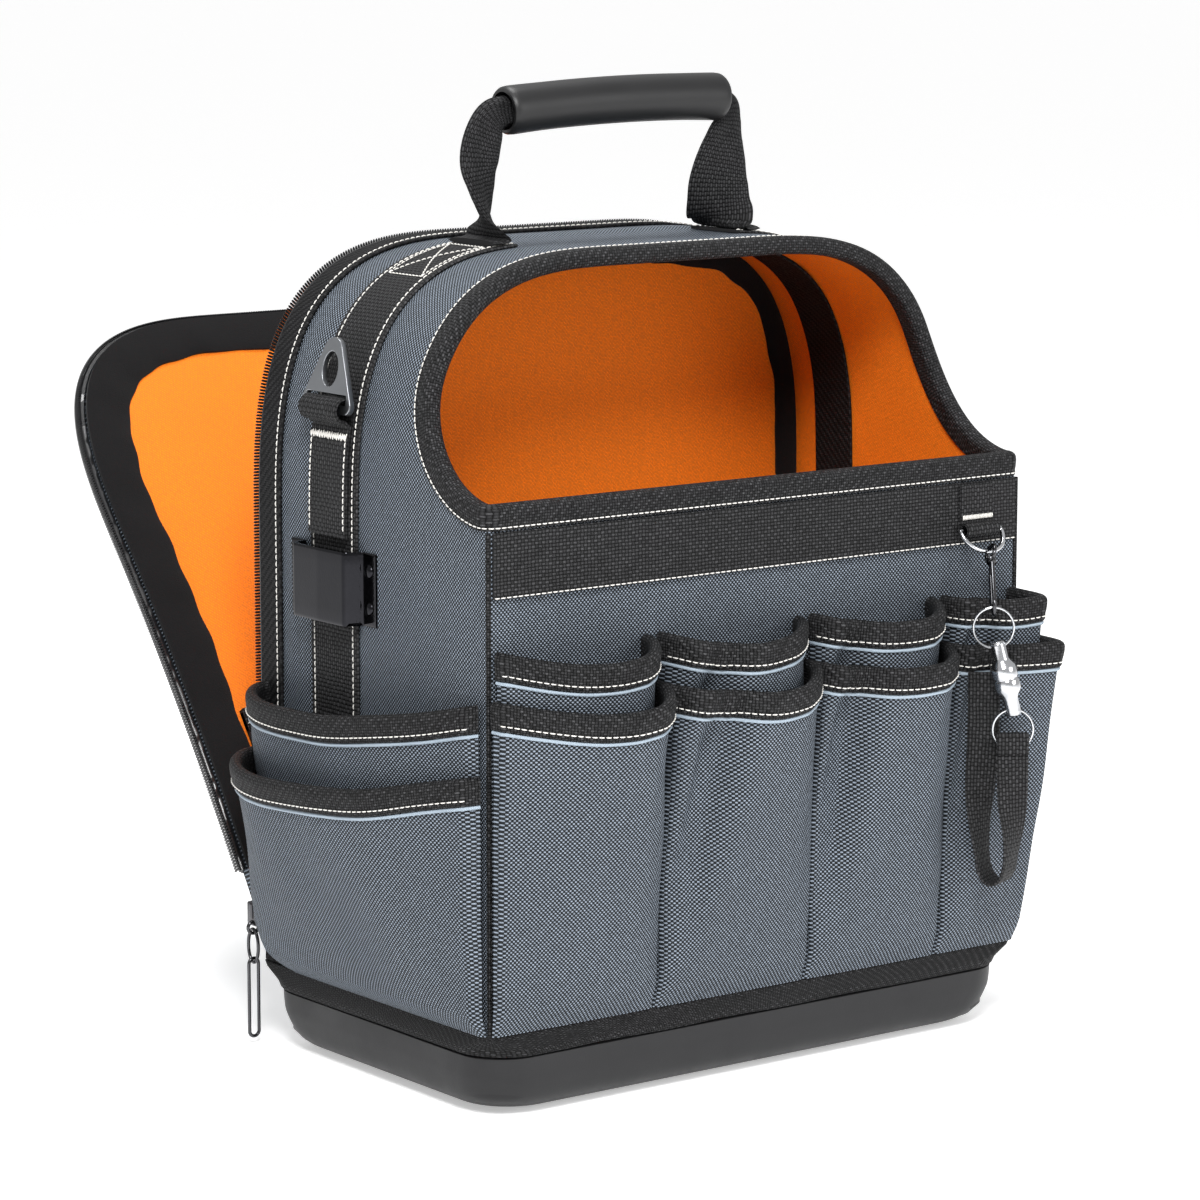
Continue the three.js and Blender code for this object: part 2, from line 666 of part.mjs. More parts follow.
// One pocket layer: an open bulging sheet on a wall, and the binding on its mouth
function addPocket(name, wall, plan, layer) {
  const { width, foot, mouth, tail, sag, depth, base, cornerRun, cornerRise } = layer;
  const mouthHeight = (along) => (
    mouth - tail * along - sag * Math.sin(Math.PI * along));
  const surface = (along, out, rise) => {
    const z = between(foot, mouthHeight(along), rise);
    const low = Math.max(0, 1 - (z - foot) / Math.max(cornerRise, fit));
    const end = width - cornerRun * (1 - Math.sqrt(1 - Math.min(low, 1) ** 2));
    const stand = base + clothThickness + mouthStandOff * rise * layer.level;
    return { along: along * end, out: stand + depth * out * rise, z };
  };
  const row = (rise) => {
    const line = plan.map(({ along, out }) => surface(along, out, rise));
    return line.map((place, i) => {
      const ahead = line[Math.min(i + 1, line.length - 1)];
      const behind = line[Math.max(i - 1, 0)];
      const before = [place.along - behind.along, place.out - behind.out];
      const after = [ahead.along - place.along, ahead.out - place.out];
      const unit = ([a, b]) => {
        const size = Math.hypot(a, b) || 1;
        return [a / size, b / size];
      };
      const [a1, b1] = unit(before);
      const [a2, b2] = unit(after);
      const [alongWay, outWay] = unit([a1 + a2, b1 + b2]);
      const miter = 1 / Math.sqrt((1 + Math.min(1, a1 * a2 + b1 * b2)) / 2 || 0.5);
      const reach = i === 0 || i === line.length - 1 ? 1 : Math.min(miter, mostMiter);
      return { place, normal: [-outWay * reach, alongWay * reach] };
    });
  };
  const toPoint = (along, out, z) => wall.start.clone()
    .addScaledVector(wall.along, along)
    .addScaledVector(wall.out, out)
    .setZ(z);
  const halfCloth = clothThickness / 2;
  const places = plan.map(({ along }, i) => {
    const height = mouthHeight(along) - foot;
    const place = (outward, inward) => {
      const { place: at, normal } = row(1 - inward / height)[i];
      const lift = outward - halfCloth;
      return toPoint(at.along + normal[0] * lift, at.out + normal[1] * lift, at.z);
    };
    return { height, place };
  });
  const lowRises = cornerRun > 0 ? roundedRises : straightRises;
  const levels = [
    ...lowRises.map((rise) => ({ height }) => (1 - rise) * height),
    () => mouthBindingHeight,
    () => 0,
  ];
  addPiece(name, sheet(levels.map((level) => places.map((station) => (
    [halfCloth, -halfCloth].map((out) => station.place(out, level(station))))))),
  cloth(fabricColour));
  addPiece(`${name}_binding`, foldedBinding(
    places.map(({ place }) => place), halfCloth, mouthBindingHeight), cloth(blackColour));
}

// The inner and outer layers of one pocket on a wall
function addPocketPair(name, wall, plan, width, sizes) {
  addPocket(`${name}_inner`, {
    ...wall, start: wall.start.clone().addScaledVector(wall.along, innerPocketInset),
  }, plan, {
    ...sizes, width: width - 2 * innerPocketInset, mouth: sizes.innerMouth,
    depth: innerDepth, base: sizes.stand, level: 1,
  });
  addPocket(`${name}_outer`, wall, plan, {
    ...sizes, width, mouth: sizes.outerMouth,
    depth: outerDepth, base: sizes.stand + fit + clothThickness, level: 2,
  });
}

const pocketFoot = wallFoot + fit;
for (const { name, from, to, plan, sag } of frontPockets) {
  const start = between(-halfWidth, halfWidth, from) + pocketSeam;
  const width = bodyWidth * (to - from) - 2 * pocketSeam;
  const wall = { start: point(start, frontFace, 0), along: point(1, 0, 0), out: point(0, -1, 0) };
  addPocketPair(name, wall, plan, width, {
    innerMouth: innerMouthHeight, outerMouth: outerMouthHeight, foot: pocketFoot, sag, tail: 0,
    cornerRun: 0, cornerRise: 0, stand: fit,
  });
}

// Side pockets are sewn over the zip tape and the side strap
const sidePocketWidth = gussetBack - frontFace - 2 * pocketSeam;
for (const [name, side] of [['left', -1], ['right', 1]]) {
  const wall = {
    start: point(side * halfWidth, frontFace + pocketSeam, 0),
    along: point(0, 1, 0),
    out: point(side, 0, 0),
  };
  addPocketPair(`side_pocket_${name}`, wall, sidePlan, sidePocketWidth, {
    innerMouth: frontHeight - sideInnerMouthDrop, outerMouth: frontHeight - sideOuterMouthDrop,
    foot: pocketFoot, sag: sidePocketSag, tail: sidePocketTail, cornerRun: sidePocketCorner,
    cornerRise: sidePocketCorner, stand: webbingThickness + 2 * fit,
  });
}

// Side straps over the zip side of the gusset, from behind the pockets up to the handle's feet
const crownAt = (inset) => shoulderHeight
  + shoulderRise * (1 - (1 - inset / shoulderRun) ** shoulderPower) ** (1 / shoulderPower);
const footInset = halfWidth - handleFootSpan / 2;
const footHeight = crownAt(footInset);
const strapTop = fit + webbingThickness;

// Arch stations of one side between two heights
const sideStations = (side, low, high) => [
  onArch(side, low),
  ...sideHeights.filter((z) => z > low + 1 && z < high - fit).map((z) => onArch(side, z)),
  onArch(side, high),
];

const sides = [['left', -1], ['right', 1]];
for (const [name, side] of sides) {
  addPiece(`side_strap_${name}`, sheet(sideStations(side, strapFoot, footHeight).map(
    (station) => [-0.5, 0.5].map((share) => [strapTop, fit].map(
      (offset) => archPoint(station, offset, strapY + share * strapWidth))))), cloth(blackColour));
}

// Extrudes an outline drawn in out and up, along the body's depth, about its middle
function extrudeDeep(outline, holes, width) {
  const shape = new THREE.Shape(outline.map(([out, up]) => new THREE.Vector2(out, up)));
  for (const hole of holes) {
    shape.holes.push(new THREE.Path(hole.map(([out, up]) => new THREE.Vector2(out, up))));
  }
  return new THREE.ExtrudeGeometry(shape, { depth: width, bevelEnabled: false, steps: 1 })
    .rotateX(90 * degree)
    .translate(0, width / 2, 0);
}

// Points of an arc as [first, second] pairs, by turns in degrees
const arcPoints = (centre, radius, from, to, count, squeeze = 1) => Array.from(
  { length: count }, (_, k) => {
    const turn = between(from, to, k / (count - 1)) * degree;
    return [
      centre[0] + radius * Math.cos(turn), centre[1] + radius * squeeze * Math.sin(turn)];
  });
const wholeCircle = (centre, radius, count, squeeze = 1) => arcPoints(
  centre, radius, 0, 360 - 360 / count, count, squeeze);

// Frame on the arch: out of the cloth, along the depth and up the cloth
function archFrame(side, height, offset) {
  const station = onArch(side, height);
  const out = point(station.nx, 0, station.nz);
  const depth = point(0, side, 0);
  const frame = new THREE.Matrix4().makeBasis(out, depth, out.clone().cross(depth));
  return frame.setPosition(archPoint(station, offset, strapY));
}

// Webbing loops rolled round the rings' bars, each with a tail down the side strap
const rollOffset = strapTop + fit + loopRadius;
const tailThickness = 2 * webbingThickness;
for (const [name, side] of sides) {
  const roll = extrudeDeep(
    wholeCircle([0, 0], loopRadius, 16), [wholeCircle([0, 0], loopBore, 12)], loopWidth)
    .applyMatrix4(archFrame(side, ringHeight, rollOffset));
  const tail = sheet(sideStations(side, ringHeight - loopTail, ringHeight - loopRadius / 3).map(
    (station) => [-0.5, 0.5].map((share) => [tailThickness, 0].map((lift) => archPoint(
      station, strapTop + fit + lift, strapY + share * (loopWidth - 2 * fit))))));
  addPiece(`ring_loop_${name}`, fuse([roll, tail]), cloth(blackColour));
}

// Triangle rings: a plate with an eye, and a bar that turns in the webbing roll
const barHalf = ringBarHeight / 2;
const cornerCentre = [ringWidth / 2 - ringCornerRadius, ringCornerRadius - barHalf];
const apexCentre = [0, ringLength - ringApexRadius];
const slope = Math.atan2(apexCentre[1] - cornerCentre[1], apexCentre[0] - cornerCentre[0]);
const lean = Math.acos((ringCornerRadius - ringApexRadius) / Math.hypot(
  apexCentre[0] - cornerCentre[0], apexCentre[1] - cornerCentre[1]));
const tangentTurn = (slope - lean) / degree;
const ringOutline = [
  ...arcPoints(cornerCentre, ringCornerRadius, -90, tangentTurn, 5),
  ...arcPoints(apexCentre, ringApexRadius, tangentTurn, 180 - tangentTurn, 9),
  ...arcPoints([-cornerCentre[0], cornerCentre[1]], ringCornerRadius, 180 - tangentTurn, 270, 5),
];
const slotHalf = loopWidth / 2 + fit;
const slotTop = loopRadius + 1.5 * fit;
const slotOutline = [
  [-slotHalf, barHalf], [slotHalf, barHalf], [slotHalf, slotTop], [-slotHalf, slotTop]];
const eyeOutline = wholeCircle(
  [0, slotTop + 3 * fit + ringEyeHeight / 2 + barHalf], ringEyeWidth / 2, 14,
  ringEyeHeight / ringEyeWidth);
const ringShape = new THREE.Shape(ringOutline.map(([y, z]) => new THREE.Vector2(y, z)));
for (const hole of [slotOutline, eyeOutline]) {
  ringShape.holes.push(new THREE.Path(hole.map(([y, z]) => new THREE.Vector2(y, z))));
}
for (const [name, side] of sides) {
  const plate = new THREE.ExtrudeGeometry(
    ringShape, { depth: ringThickness, bevelEnabled: false, steps: 1 })
    .translate(0, 0, -ringThickness / 2)
    .rotateX(90 * degree)
    .rotateZ(90 * degree)
    .applyMatrix4(archFrame(side, ringHeight, rollOffset));
  addPiece(`strap_ring_${name}`, plate, metal(pewterColour));
}

// Tape clip on the left side: two riveted ears and a raised face between them
const clipHalf = clipWidth / 2;
const clipPlan = [
  { across: -1, out: 0 }, { across: -(clipHalf - clipEarWidth) / clipHalf, out: 0 },
  { across: -(clipHalf - clipEarWidth - clipStand / 3) / clipHalf, out: 1 },
  { across: (clipHalf - clipEarWidth - clipStand / 3) / clipHalf, out: 1 },
  { across: (clipHalf - clipEarWidth) / clipHalf, out: 0 }, { across: 1, out: 0 },
];
const clipLift = (out) => fit + out * clipStand;
const clipPlate = sheet([clipTop, clipTop - clipHeight].map((z) => clipPlan.map(
  ({ across, out }) => [clipSheet, 0].map((lift) => point(
    -(halfWidth + clipLift(out) + lift),
    strapY + across * clipHalf * (out > 0 ? 1 - (clipSheet - lift) / clipHalf : 1), z)))));
const rivets = [-1, 1].flatMap((end) => rivetShares.map((share) => new THREE.CylinderGeometry(
  rivetRadius * rivetCrown, rivetRadius, clipSheet, 10)
  .rotateZ(90 * degree)
  .translate(
    -(halfWidth + fit + rivetLift), strapY + end * (clipHalf - clipEarWidth / 2),
    clipTop - share * clipHeight)));
addPiece('tape_clip', fuse([clipPlate, ...rivets]), metal(gunmetalColour));

// Handle: one folded strap up from the left foot, through the grip and down to the right foot
const gripLine = (share) => point(
  gripShift + (share - 0.5) * gripLength, strapY,
  gripHeight + gripTilt * (share - 0.5) + gripRise * 4 * share * (1 - share));
const footOffset = strapTop + fit + handleStrapThickness / 2;
const handleFootHeight = footHeight + footOffset;
const legRise = gripHeight - handleFootHeight;

// Left and right legs: run is out from the foot, rise up to the grip, as shares of leg height
const leftLeg = [
  { run: 0, rise: 0, width: 1, turn: 0 }, { run: 0.01, rise: 0.08, width: 0.85, turn: 8 },
  { run: 0.02, rise: 0.2, width: 0.5, turn: 38 }, { run: 0.05, rise: 0.38, width: 0.56, turn: 70 },
  { run: 0.06, rise: 0.58, width: 0.62, turn: 92 }, { run: 0.02, rise: 0.76, width: 0.56, turn: 96 },
  { run: -0.05, rise: 0.93, width: 0.44, turn: 92 },
];
const rightLeg = [
  { run: 0.06, rise: 0.97, width: 0.2, turn: 90 }, { run: 0.06, rise: 0.84, width: 0.22, turn: 90 },
  { run: 0.03, rise: 0.7, width: 0.48, turn: 88 },
  { run: 0.02, rise: 0.55, width: 0.78, turn: 86 }, { run: 0, rise: 0.34, width: 0.95, turn: 76 },
  { run: 0, rise: 0.16, width: 1, turn: 40 }, { run: 0, rise: 0.05, width: 1, turn: 10 },
  { run: 0, rise: 0, width: 1, turn: 0 },
];
const legPlace = (side) => ({ run, rise, width, turn }) => ({
  middle: point(
    side * (handleFootSpan / 2 + run * legRise), strapY, handleFootHeight + rise * legRise),
  width: width * strapWidth,
  turn,
});
const gripShares = [0.02, 0.2, 0.4, 0.6, 0.8, 0.98];
const gripStations = gripShares.map((share) => (
  { middle: gripLine(share), width: between(...gripFill, share) * gripRadius, turn: 90 }));
const footLap = (side) => [{
  middle: archPoint(onArch(side, crownAt(footInset - handleLap)), footOffset, strapY),
  width: strapWidth,
  turn: 0,
}];
const handleLine = [
  ...footLap(-1), ...leftLeg.map(legPlace(-1)), ...gripStations,
  ...rightLeg.map(legPlace(1)), ...footLap(1)];
const depthWay = point(0, 1, 0);
const handleStations = handleLine.map(({ middle, width, turn }, i) => {
  const ahead = handleLine[Math.min(i + 1, handleLine.length - 1)].middle;
  const behind = handleLine[Math.max(i - 1, 0)].middle;
  const along = ahead.clone().sub(behind).normalize();
  const across = depthWay.clone().multiplyScalar(Math.cos(turn * degree))
    .addScaledVector(depthWay.clone().cross(along), Math.sin(turn * degree));
  return { middle, width, across, facing: across.clone().cross(along) };
});
addPiece('handle_strap', band(handleStations, handleStrapThickness), cloth(blackColour));

const gripSection = new THREE.Shape(wholeCircle([0, 0], gripRadius, 16).map(
  ([a, b]) => new THREE.Vector2(a, b)));
gripSection.holes.push(new THREE.Path(wholeCircle([0, 0], gripRadius - gripWall, 12).map(
  ([a, b]) => new THREE.Vector2(a, b))));
addPiece('handle_grip', new THREE.ExtrudeGeometry(gripSection, {
  steps: 6,
  extrudePath: new THREE.CatmullRomCurve3([0, 0.25, 0.5, 0.75, 1].map(gripLine)),
}), rubber(tubColour));

// Closed oval of points in the plane of two directions
const ovalPoints = (centre, first, second, halfFirst, halfSecond, count) => Array.from(
  { length: count }, (_, k) => {
    const turn = (2 * Math.PI * k) / count;
    return centre.clone()
      .addScaledVector(first, halfFirst * Math.cos(turn))
      .addScaledVector(second, halfSecond * Math.sin(turn));
  });
const wayX = point(1, 0, 0);
const wayY = point(0, 1, 0);
const wayZ = point(0, 0, 1);

// Long loop with straight sides, in the plane of two directions
function loopPoints(centre, first, second, halfFirst, halfSecond, perEnd) {
  const straight = halfSecond - halfFirst;
  return [1, -1].flatMap((end) => Array.from({ length: perEnd }, (_, k) => {
    const turn = (Math.PI * k) / (perEnd - 1);
    return centre.clone()
      .addScaledVector(second, end * (straight + halfFirst * Math.sin(turn)))
      .addScaledVector(first, end * halfFirst * Math.cos(turn));
  }));
}

// Zip slider low on the left rear corner, its oval ring and the long wire pull
const sliderHalf = sliderThickness / 2;
const sliderX = -(halfWidth + fit + sliderHalf);
const sliderSetBack = gussetBack + 2 * fit + sliderWidth / 2;
const sliderBody = boxAt(
  sliderThickness, sliderWidth, sliderHeight, sliderX, sliderSetBack, sliderPlace);
const sliderEyeCentre = point(
  sliderX - sliderHalf + pullWire, sliderSetBack, sliderPlace - sliderHeight / 2 - pullWire);
addPiece('zip_slider', fuse([
  sliderBody,
  bar(ovalPoints(sliderEyeCentre, wayX, wayZ, sliderEyeRadius, sliderEyeRadius, 10),
    pullWire, 6, wayY, true),
]), metal(gunmetalColour));
const linkGap = 2 * pullWire + fit;
const pullRingCentre = sliderEyeCentre.clone()
  .addScaledVector(wayZ, linkGap - sliderEyeRadius - pullRingHeight / 2);
addPiece('zip_ring', bar(
  ovalPoints(pullRingCentre, wayY, wayZ, pullRingWidth / 2, pullRingHeight / 2, 14),
  pullWire, 6, wayX, true), metal(gunmetalColour));
const pullCentre = pullRingCentre.clone()
  .addScaledVector(wayZ, linkGap - pullRingHeight / 2 - pullLength / 2);
addPiece('zip_pull', bar(
  loopPoints(pullCentre, wayX, wayZ, pullWidth / 2, pullLength / 2, 7),
  pullWire, 6, wayY, true), metal(gunmetalColour));

// Webbing tab under the rim at the front right, rolled round the bar of a wire ring
const tabFace = frontFace - fit - webbingThickness - fit;
const tabAxis = point(tabPlace, tabFace - tabRollRadius, webbingTop - tabDrop);
const tabBore = chainWire + 2 * fit;
const tabTailDepth = tabRollRadius - tabBore;
const tabRoll = extrudeDeep(
  wholeCircle([0, 0], tabRollRadius, 14), [wholeCircle([0, 0], tabBore, 10)], tabWidth)
  .rotateZ(90 * degree)
  .translate(tabAxis.x, tabAxis.y, tabAxis.z);
const tabTail = boxAt(
  tabWidth - fit, tabTailDepth, tabDrop - fit,
  tabPlace, tabFace - tabTailDepth / 2, webbingTop - (tabDrop + fit) / 2);
addPiece('tab', fuse([tabRoll, tabTail]), cloth(blackColour));

// Wire ring of the tab: a straight bar and a bow that leans out over the pockets
const tabRingHalf = tabWidth / 2 + 2 * chainWire;
const bowOut = point(0, -Math.sin(tabRingLean * degree), -Math.cos(tabRingLean * degree));
const bowHalf = arcPoints([0, 0], 1, 0, 90, 5).map(
  ([across, drop]) => [tabRingHalf * across, tabRingDrop * drop]);
const bowLine = [
  [0, 0],
  ...bowHalf,
  ...bowHalf.slice(0, -1).toReversed().map(([across, drop]) => [-across, drop]),
].map(([across, drop]) => tabAxis.clone()
  .addScaledVector(wayX, across)
  .addScaledVector(bowOut, drop));
addPiece('tab_ring', bar(
  bowLine, chainWire, 6, wayX.clone().cross(bowOut).normalize(), true), metal(chromeColour));

// The hanging pieces are turned to the left about a common vertical plane
const faceWay = point(Math.cos(hangTurn * degree), -Math.sin(hangTurn * degree), 0);
const faceOut = point(-Math.sin(hangTurn * degree), -Math.cos(hangTurn * degree), 0);
const upperRing = point(
  upperRingPlace, frontFace - upperRingStand, outerMouthHeight + upperRingAboveMouth);

// Swivelling snap hook from the tab ring to the upper split ring
const hookFrom = tabAxis.clone().addScaledVector(bowOut, tabRingDrop);
const hookTo = upperRing.clone().addScaledVector(wayZ, splitRingRadius);
const hookWay = hookTo.clone().sub(hookFrom);
const hookReach = hookWay.length();
hookWay.normalize();
const eyeSide = wayX.clone().cross(hookWay).normalize();
const hookSide = faceWay.clone().cross(hookWay).normalize();
const wireGap = 2 * chainWire + fit;
const eyePlace = hookEyeRadius - wireGap - fit;
const eyeCentre = hookFrom.clone().addScaledVector(hookWay, eyePlace);
const neckPlace = hookEyeRadius + eyePlace;
const hookEnd = hookReach + wireGap;
const hookHalfLength = (hookEnd - neckPlace - hookNeckRadius) / 2;
const hookCentre = hookFrom.clone().addScaledVector(hookWay, hookEnd - hookHalfLength);
addPiece('snap_hook', fuse([
  bar(ovalPoints(eyeCentre, eyeSide, hookWay, hookEyeRadius, hookEyeRadius, 10),
    chainWire, 6, eyeSide.clone().cross(hookWay).normalize(), true),
  new THREE.SphereGeometry(hookNeckRadius, 8, 6).translate(
    ...hookFrom.clone().addScaledVector(hookWay, neckPlace + chainWire).toArray()),
  bar(loopPoints(hookCentre, hookSide, hookWay, hookWidth / 2, hookHalfLength, 7),
    chainWire, 6, hookSide.clone().cross(hookWay).normalize(), true),
]), metal(gunmetalColour));

// Split rings and the two-part magnet between them
const splitRing = (centre) => bar(
  ovalPoints(centre, faceWay, wayZ, splitRingRadius, splitRingRadius, 16),
  chainWire, 6, faceOut, true);
addPiece('split_ring_upper', splitRing(upperRing), metal(chromeColour));
const magnetWay = faceWay.clone().multiplyScalar(Math.sin(magnetTilt * degree))
  .addScaledVector(wayZ, -Math.cos(magnetTilt * degree));
const magnetTop = upperRing.clone().addScaledVector(magnetWay, splitRingRadius);
const magnetProfile = [
  { girth: 0, share: -0.1 }, { girth: magnetKnob, share: -0.1 },
  { girth: magnetKnob, share: 0.2 }, { girth: magnetRadius, share: 0.32 },
  { girth: magnetRadius, share: 0.48 }, { girth: magnetRadius - fit, share: 0.5 },
  { girth: magnetRadius, share: 0.52 }, { girth: magnetRadius, share: 0.68 },
  { girth: magnetKnob, share: 0.8 }, { girth: magnetKnob, share: 1.1 }, { girth: 0, share: 1.1 },
].map(({ girth, share }) => new THREE.Vector2(girth, share * magnetReach));
const magnetBody = new THREE.LatheGeometry(magnetProfile, 14)
  .applyQuaternion(new THREE.Quaternion().setFromUnitVectors(wayY, magnetWay))
  .translate(...magnetTop.toArray());
const magnetEnd = magnetTop.clone().addScaledVector(magnetWay, magnetReach);
const knobBore = chainWire + 4 * fit;
const knobHole = (centre, way) => new THREE.CylinderGeometry(
  knobBore, knobBore, 4 * magnetKnob, 10)
  .applyQuaternion(new THREE.Quaternion().setFromUnitVectors(wayY, way))
  .translate(...centre.toArray());
addPiece('magnet', fuse([magnetBody], [
  knobHole(magnetTop, faceOut.clone().cross(magnetWay).normalize()),
  knobHole(magnetEnd, faceWay),
]), metal(chromeColour));
const lowerRing = magnetEnd.clone().addScaledVector(wayZ, -splitRingRadius);
addPiece('split_ring_lower', splitRing(lowerRing), metal(chromeColour));

// Hanging strap: down from under the fourth pocket's binding, round at the foot, up to the ring
const strapEnd = lowerRing.clone().addScaledVector(wayZ, -splitRingRadius);
const strapStart = point(
  tapeStrapPlace, frontFace - tapeStrapStand, outerMouthHeight - tapeStrapBelowMouth);
const legHeight = tapeStrapDrop;
const legSpan = point(strapEnd.x - strapStart.x, strapEnd.y - strapStart.y, 0);
const spanWay = legSpan.clone().normalize();
const spanSide = wayZ.clone().cross(spanWay);
const turnRadius = legSpan.length() / 2;
const faceTurn = spanWay.angleTo(faceWay) / degree;
const footStart = 0.86;
const footSweeps = [35, 70, 110, 145];

// Table of the strap's run: how far across the span, how far down, and how far turned edge on
const downRun = [
  { across: 0, drop: 0, edgeOn: 0 }, { across: 0, drop: 0.3, edgeOn: 0 },
  { across: -0.08, drop: 0.52, edgeOn: 0.2 }, { across: -0.1, drop: 0.7, edgeOn: 0.7 },
  { across: 0, drop: footStart, edgeOn: 1 },
];
const upRun = [
  { across: 1, drop: footStart, edgeOn: 1 }, { across: 1.06, drop: 0.74, edgeOn: 0.75 },
  { across: 1.03, drop: 0.6, edgeOn: 0.3 },
];
const edgeTurn = (share) => between(faceTurn, 90, share) * degree;
const strapPlace = ({ across, drop, edgeOn }) => ({
  middle: strapStart.clone().addScaledVector(legSpan, across).setZ(strapStart.z - drop * legHeight),
  turn: edgeTurn(edgeOn),
});
const footCentre = strapStart.clone().addScaledVector(legSpan, 0.5)
  .setZ(strapStart.z - footStart * legHeight);
const hangStations = [
  ...downRun.map(strapPlace),
  ...footSweeps.map((sweep) => ({
    middle: footCentre.clone()
      .addScaledVector(spanWay, -turnRadius * Math.cos(sweep * degree))
      .addScaledVector(wayZ, (footStart - 1) * legHeight * Math.sin(sweep * degree)),
    turn: edgeTurn(1),
  })),
  ...upRun.map(strapPlace),
  { middle: strapEnd.clone().addScaledVector(wayZ, -chainWire - 3 * fit), turn: edgeTurn(0) },
];
const hangBand = band(hangStations.map(({ middle, turn }, i) => {
  const ahead = hangStations[Math.min(i + 1, hangStations.length - 1)].middle;
  const behind = hangStations[Math.max(i - 1, 0)].middle;
  const along = ahead.clone().sub(behind).normalize();
  const aimed = spanWay.clone().multiplyScalar(Math.cos(turn))
    .addScaledVector(spanSide, Math.sin(turn));
  const across = aimed.addScaledVector(along, -aimed.dot(along)).normalize();
  return { middle, across, facing: across.clone().cross(along), width: tapeStrapWidth };
}), webbingThickness);

// Folded top end round the lower ring's wire, tall enough for the ring's bow
const foldBow = splitRingRadius - Math.sqrt(splitRingRadius ** 2 - (tapeStrapWidth / 2) ** 2);
const foldHalf = chainWire + fit;
const foldOutline = (grow) => [
  [-foldHalf - grow, -foldHalf - grow], [foldHalf + grow, -foldHalf - grow],
  [foldHalf + grow, foldBow + 2 * foldHalf + grow],
  [-foldHalf - grow, foldBow + 2 * foldHalf + grow],
];
const foldTop = extrudeDeep(foldOutline(webbingThickness), [foldOutline(0)], tapeStrapWidth)
  .applyMatrix4(new THREE.Matrix4().makeBasis(faceOut, faceWay, wayZ).setPosition(strapEnd));
addPiece('tape_strap', fuse([hangBand, foldTop]), cloth(blackColour));

export default tote;
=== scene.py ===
# Dressed model of the open top tool tote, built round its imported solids.
# Sizes are in millimetres, in the part's frame, and become metres when a mesh is made.
import math

import bmesh
import bpy
import numpy as np
from mathutils import Matrix, Vector


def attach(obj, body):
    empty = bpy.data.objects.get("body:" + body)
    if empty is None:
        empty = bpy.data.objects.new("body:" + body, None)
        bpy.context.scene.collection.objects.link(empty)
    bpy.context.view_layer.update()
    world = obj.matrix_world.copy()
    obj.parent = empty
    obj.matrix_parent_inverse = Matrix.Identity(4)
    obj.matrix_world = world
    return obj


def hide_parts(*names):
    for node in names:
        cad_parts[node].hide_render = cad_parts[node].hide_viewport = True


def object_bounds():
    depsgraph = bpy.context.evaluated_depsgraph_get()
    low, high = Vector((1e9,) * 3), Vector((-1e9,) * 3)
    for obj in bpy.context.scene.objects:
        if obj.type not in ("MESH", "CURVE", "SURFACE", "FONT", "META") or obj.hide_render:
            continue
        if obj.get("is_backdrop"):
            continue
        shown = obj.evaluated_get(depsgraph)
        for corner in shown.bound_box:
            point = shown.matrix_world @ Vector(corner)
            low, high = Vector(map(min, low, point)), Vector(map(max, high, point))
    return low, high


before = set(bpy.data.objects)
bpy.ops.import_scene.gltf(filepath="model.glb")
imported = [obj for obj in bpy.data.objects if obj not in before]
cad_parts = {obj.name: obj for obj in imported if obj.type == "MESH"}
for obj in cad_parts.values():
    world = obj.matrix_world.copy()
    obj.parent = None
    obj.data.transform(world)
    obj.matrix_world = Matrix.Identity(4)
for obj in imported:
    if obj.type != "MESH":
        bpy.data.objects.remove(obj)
first_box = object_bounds()

MM = 0.001
BAG = "bag"
X, Y, Z = np.eye(3)

# Body sizes
HALF = 163.0
FRONT = -96.5
BACK = 96.5
FOOT = 43.3
EDGE = 291.0
SHOULDER = 263.0
CROWN = 400.0
SHOULDER_RUN = 120.0
SHOULDER_RISE = CROWN - SHOULDER
RIM_RUN = 57.0
RIM_RISE = 60.0
WALL = 5.0
GUSSET_BACK = 93.3
STRAP_Y = 28.5
STRAP_HALF = 20.0
STRAP_TOP = 1.8
DIVIDER_Y = 71.5
WEBBING_TOP = 278.7
WEBBING_WIDE = 31.0
BAND_THICK = 1.5
BAND_STAND = 1.05
INSIDE_FOOT = 61.3
RING_HEIGHT = 325.0
RING_STAND = 8.7
HANDLE_X = 73.0
TOOTH_PITCH = 1.55
TOOTH_HALF = 2.9
TOOTH_RADIUS = 0.68
FIT = 0.3
SIDES = (("left", -1), ("right", 1))


# Helpers
def waves(u, v, seed, size):
    """Smooth uneven height between about -1 and 1."""
    rng = np.random.default_rng(seed)
    total = 0.0
    for _ in range(6):
        turn, phase = rng.uniform(0, 2 * np.pi, 2)
        stretch = size * rng.uniform(0.7, 1.7)
        total = total + np.sin(2 * np.pi * (u * np.cos(turn) + v * np.sin(turn)) / stretch + phase)
    return total / 3.5


def smooth(x, low, high):
    share = np.clip((x - low) / (high - low), 0, 1)
    return share * share * (3 - 2 * share)


def catmull(points, count):
    p = np.asarray(points, float)
    t = np.linspace(0, len(p) - 1, count)
    i = np.clip(t.astype(int), 0, len(p) - 2)
    f = (t - i)[:, None]

    def at(k):
        return p[np.clip(k, 0, len(p) - 1)]

    a, b, c, d = at(i - 1), at(i), at(i + 1), at(i + 2)
    return 0.5 * (2 * b + (c - a) * f + (2 * a - 5 * b + 4 * c - d) * f**2
                  + (3 * b - a - 3 * c + d) * f**3)


def lengths(points):
    step = np.linalg.norm(np.diff(points, axis=0), axis=1)
    return np.concatenate([[0], np.cumsum(step)])


def around(count):
    return 2 * np.pi * np.arange(count) / count


def pair(first, second):
    """Two sets of values side by side, spread over one grid."""
    return np.stack(np.broadcast_arrays(first, second), -1)


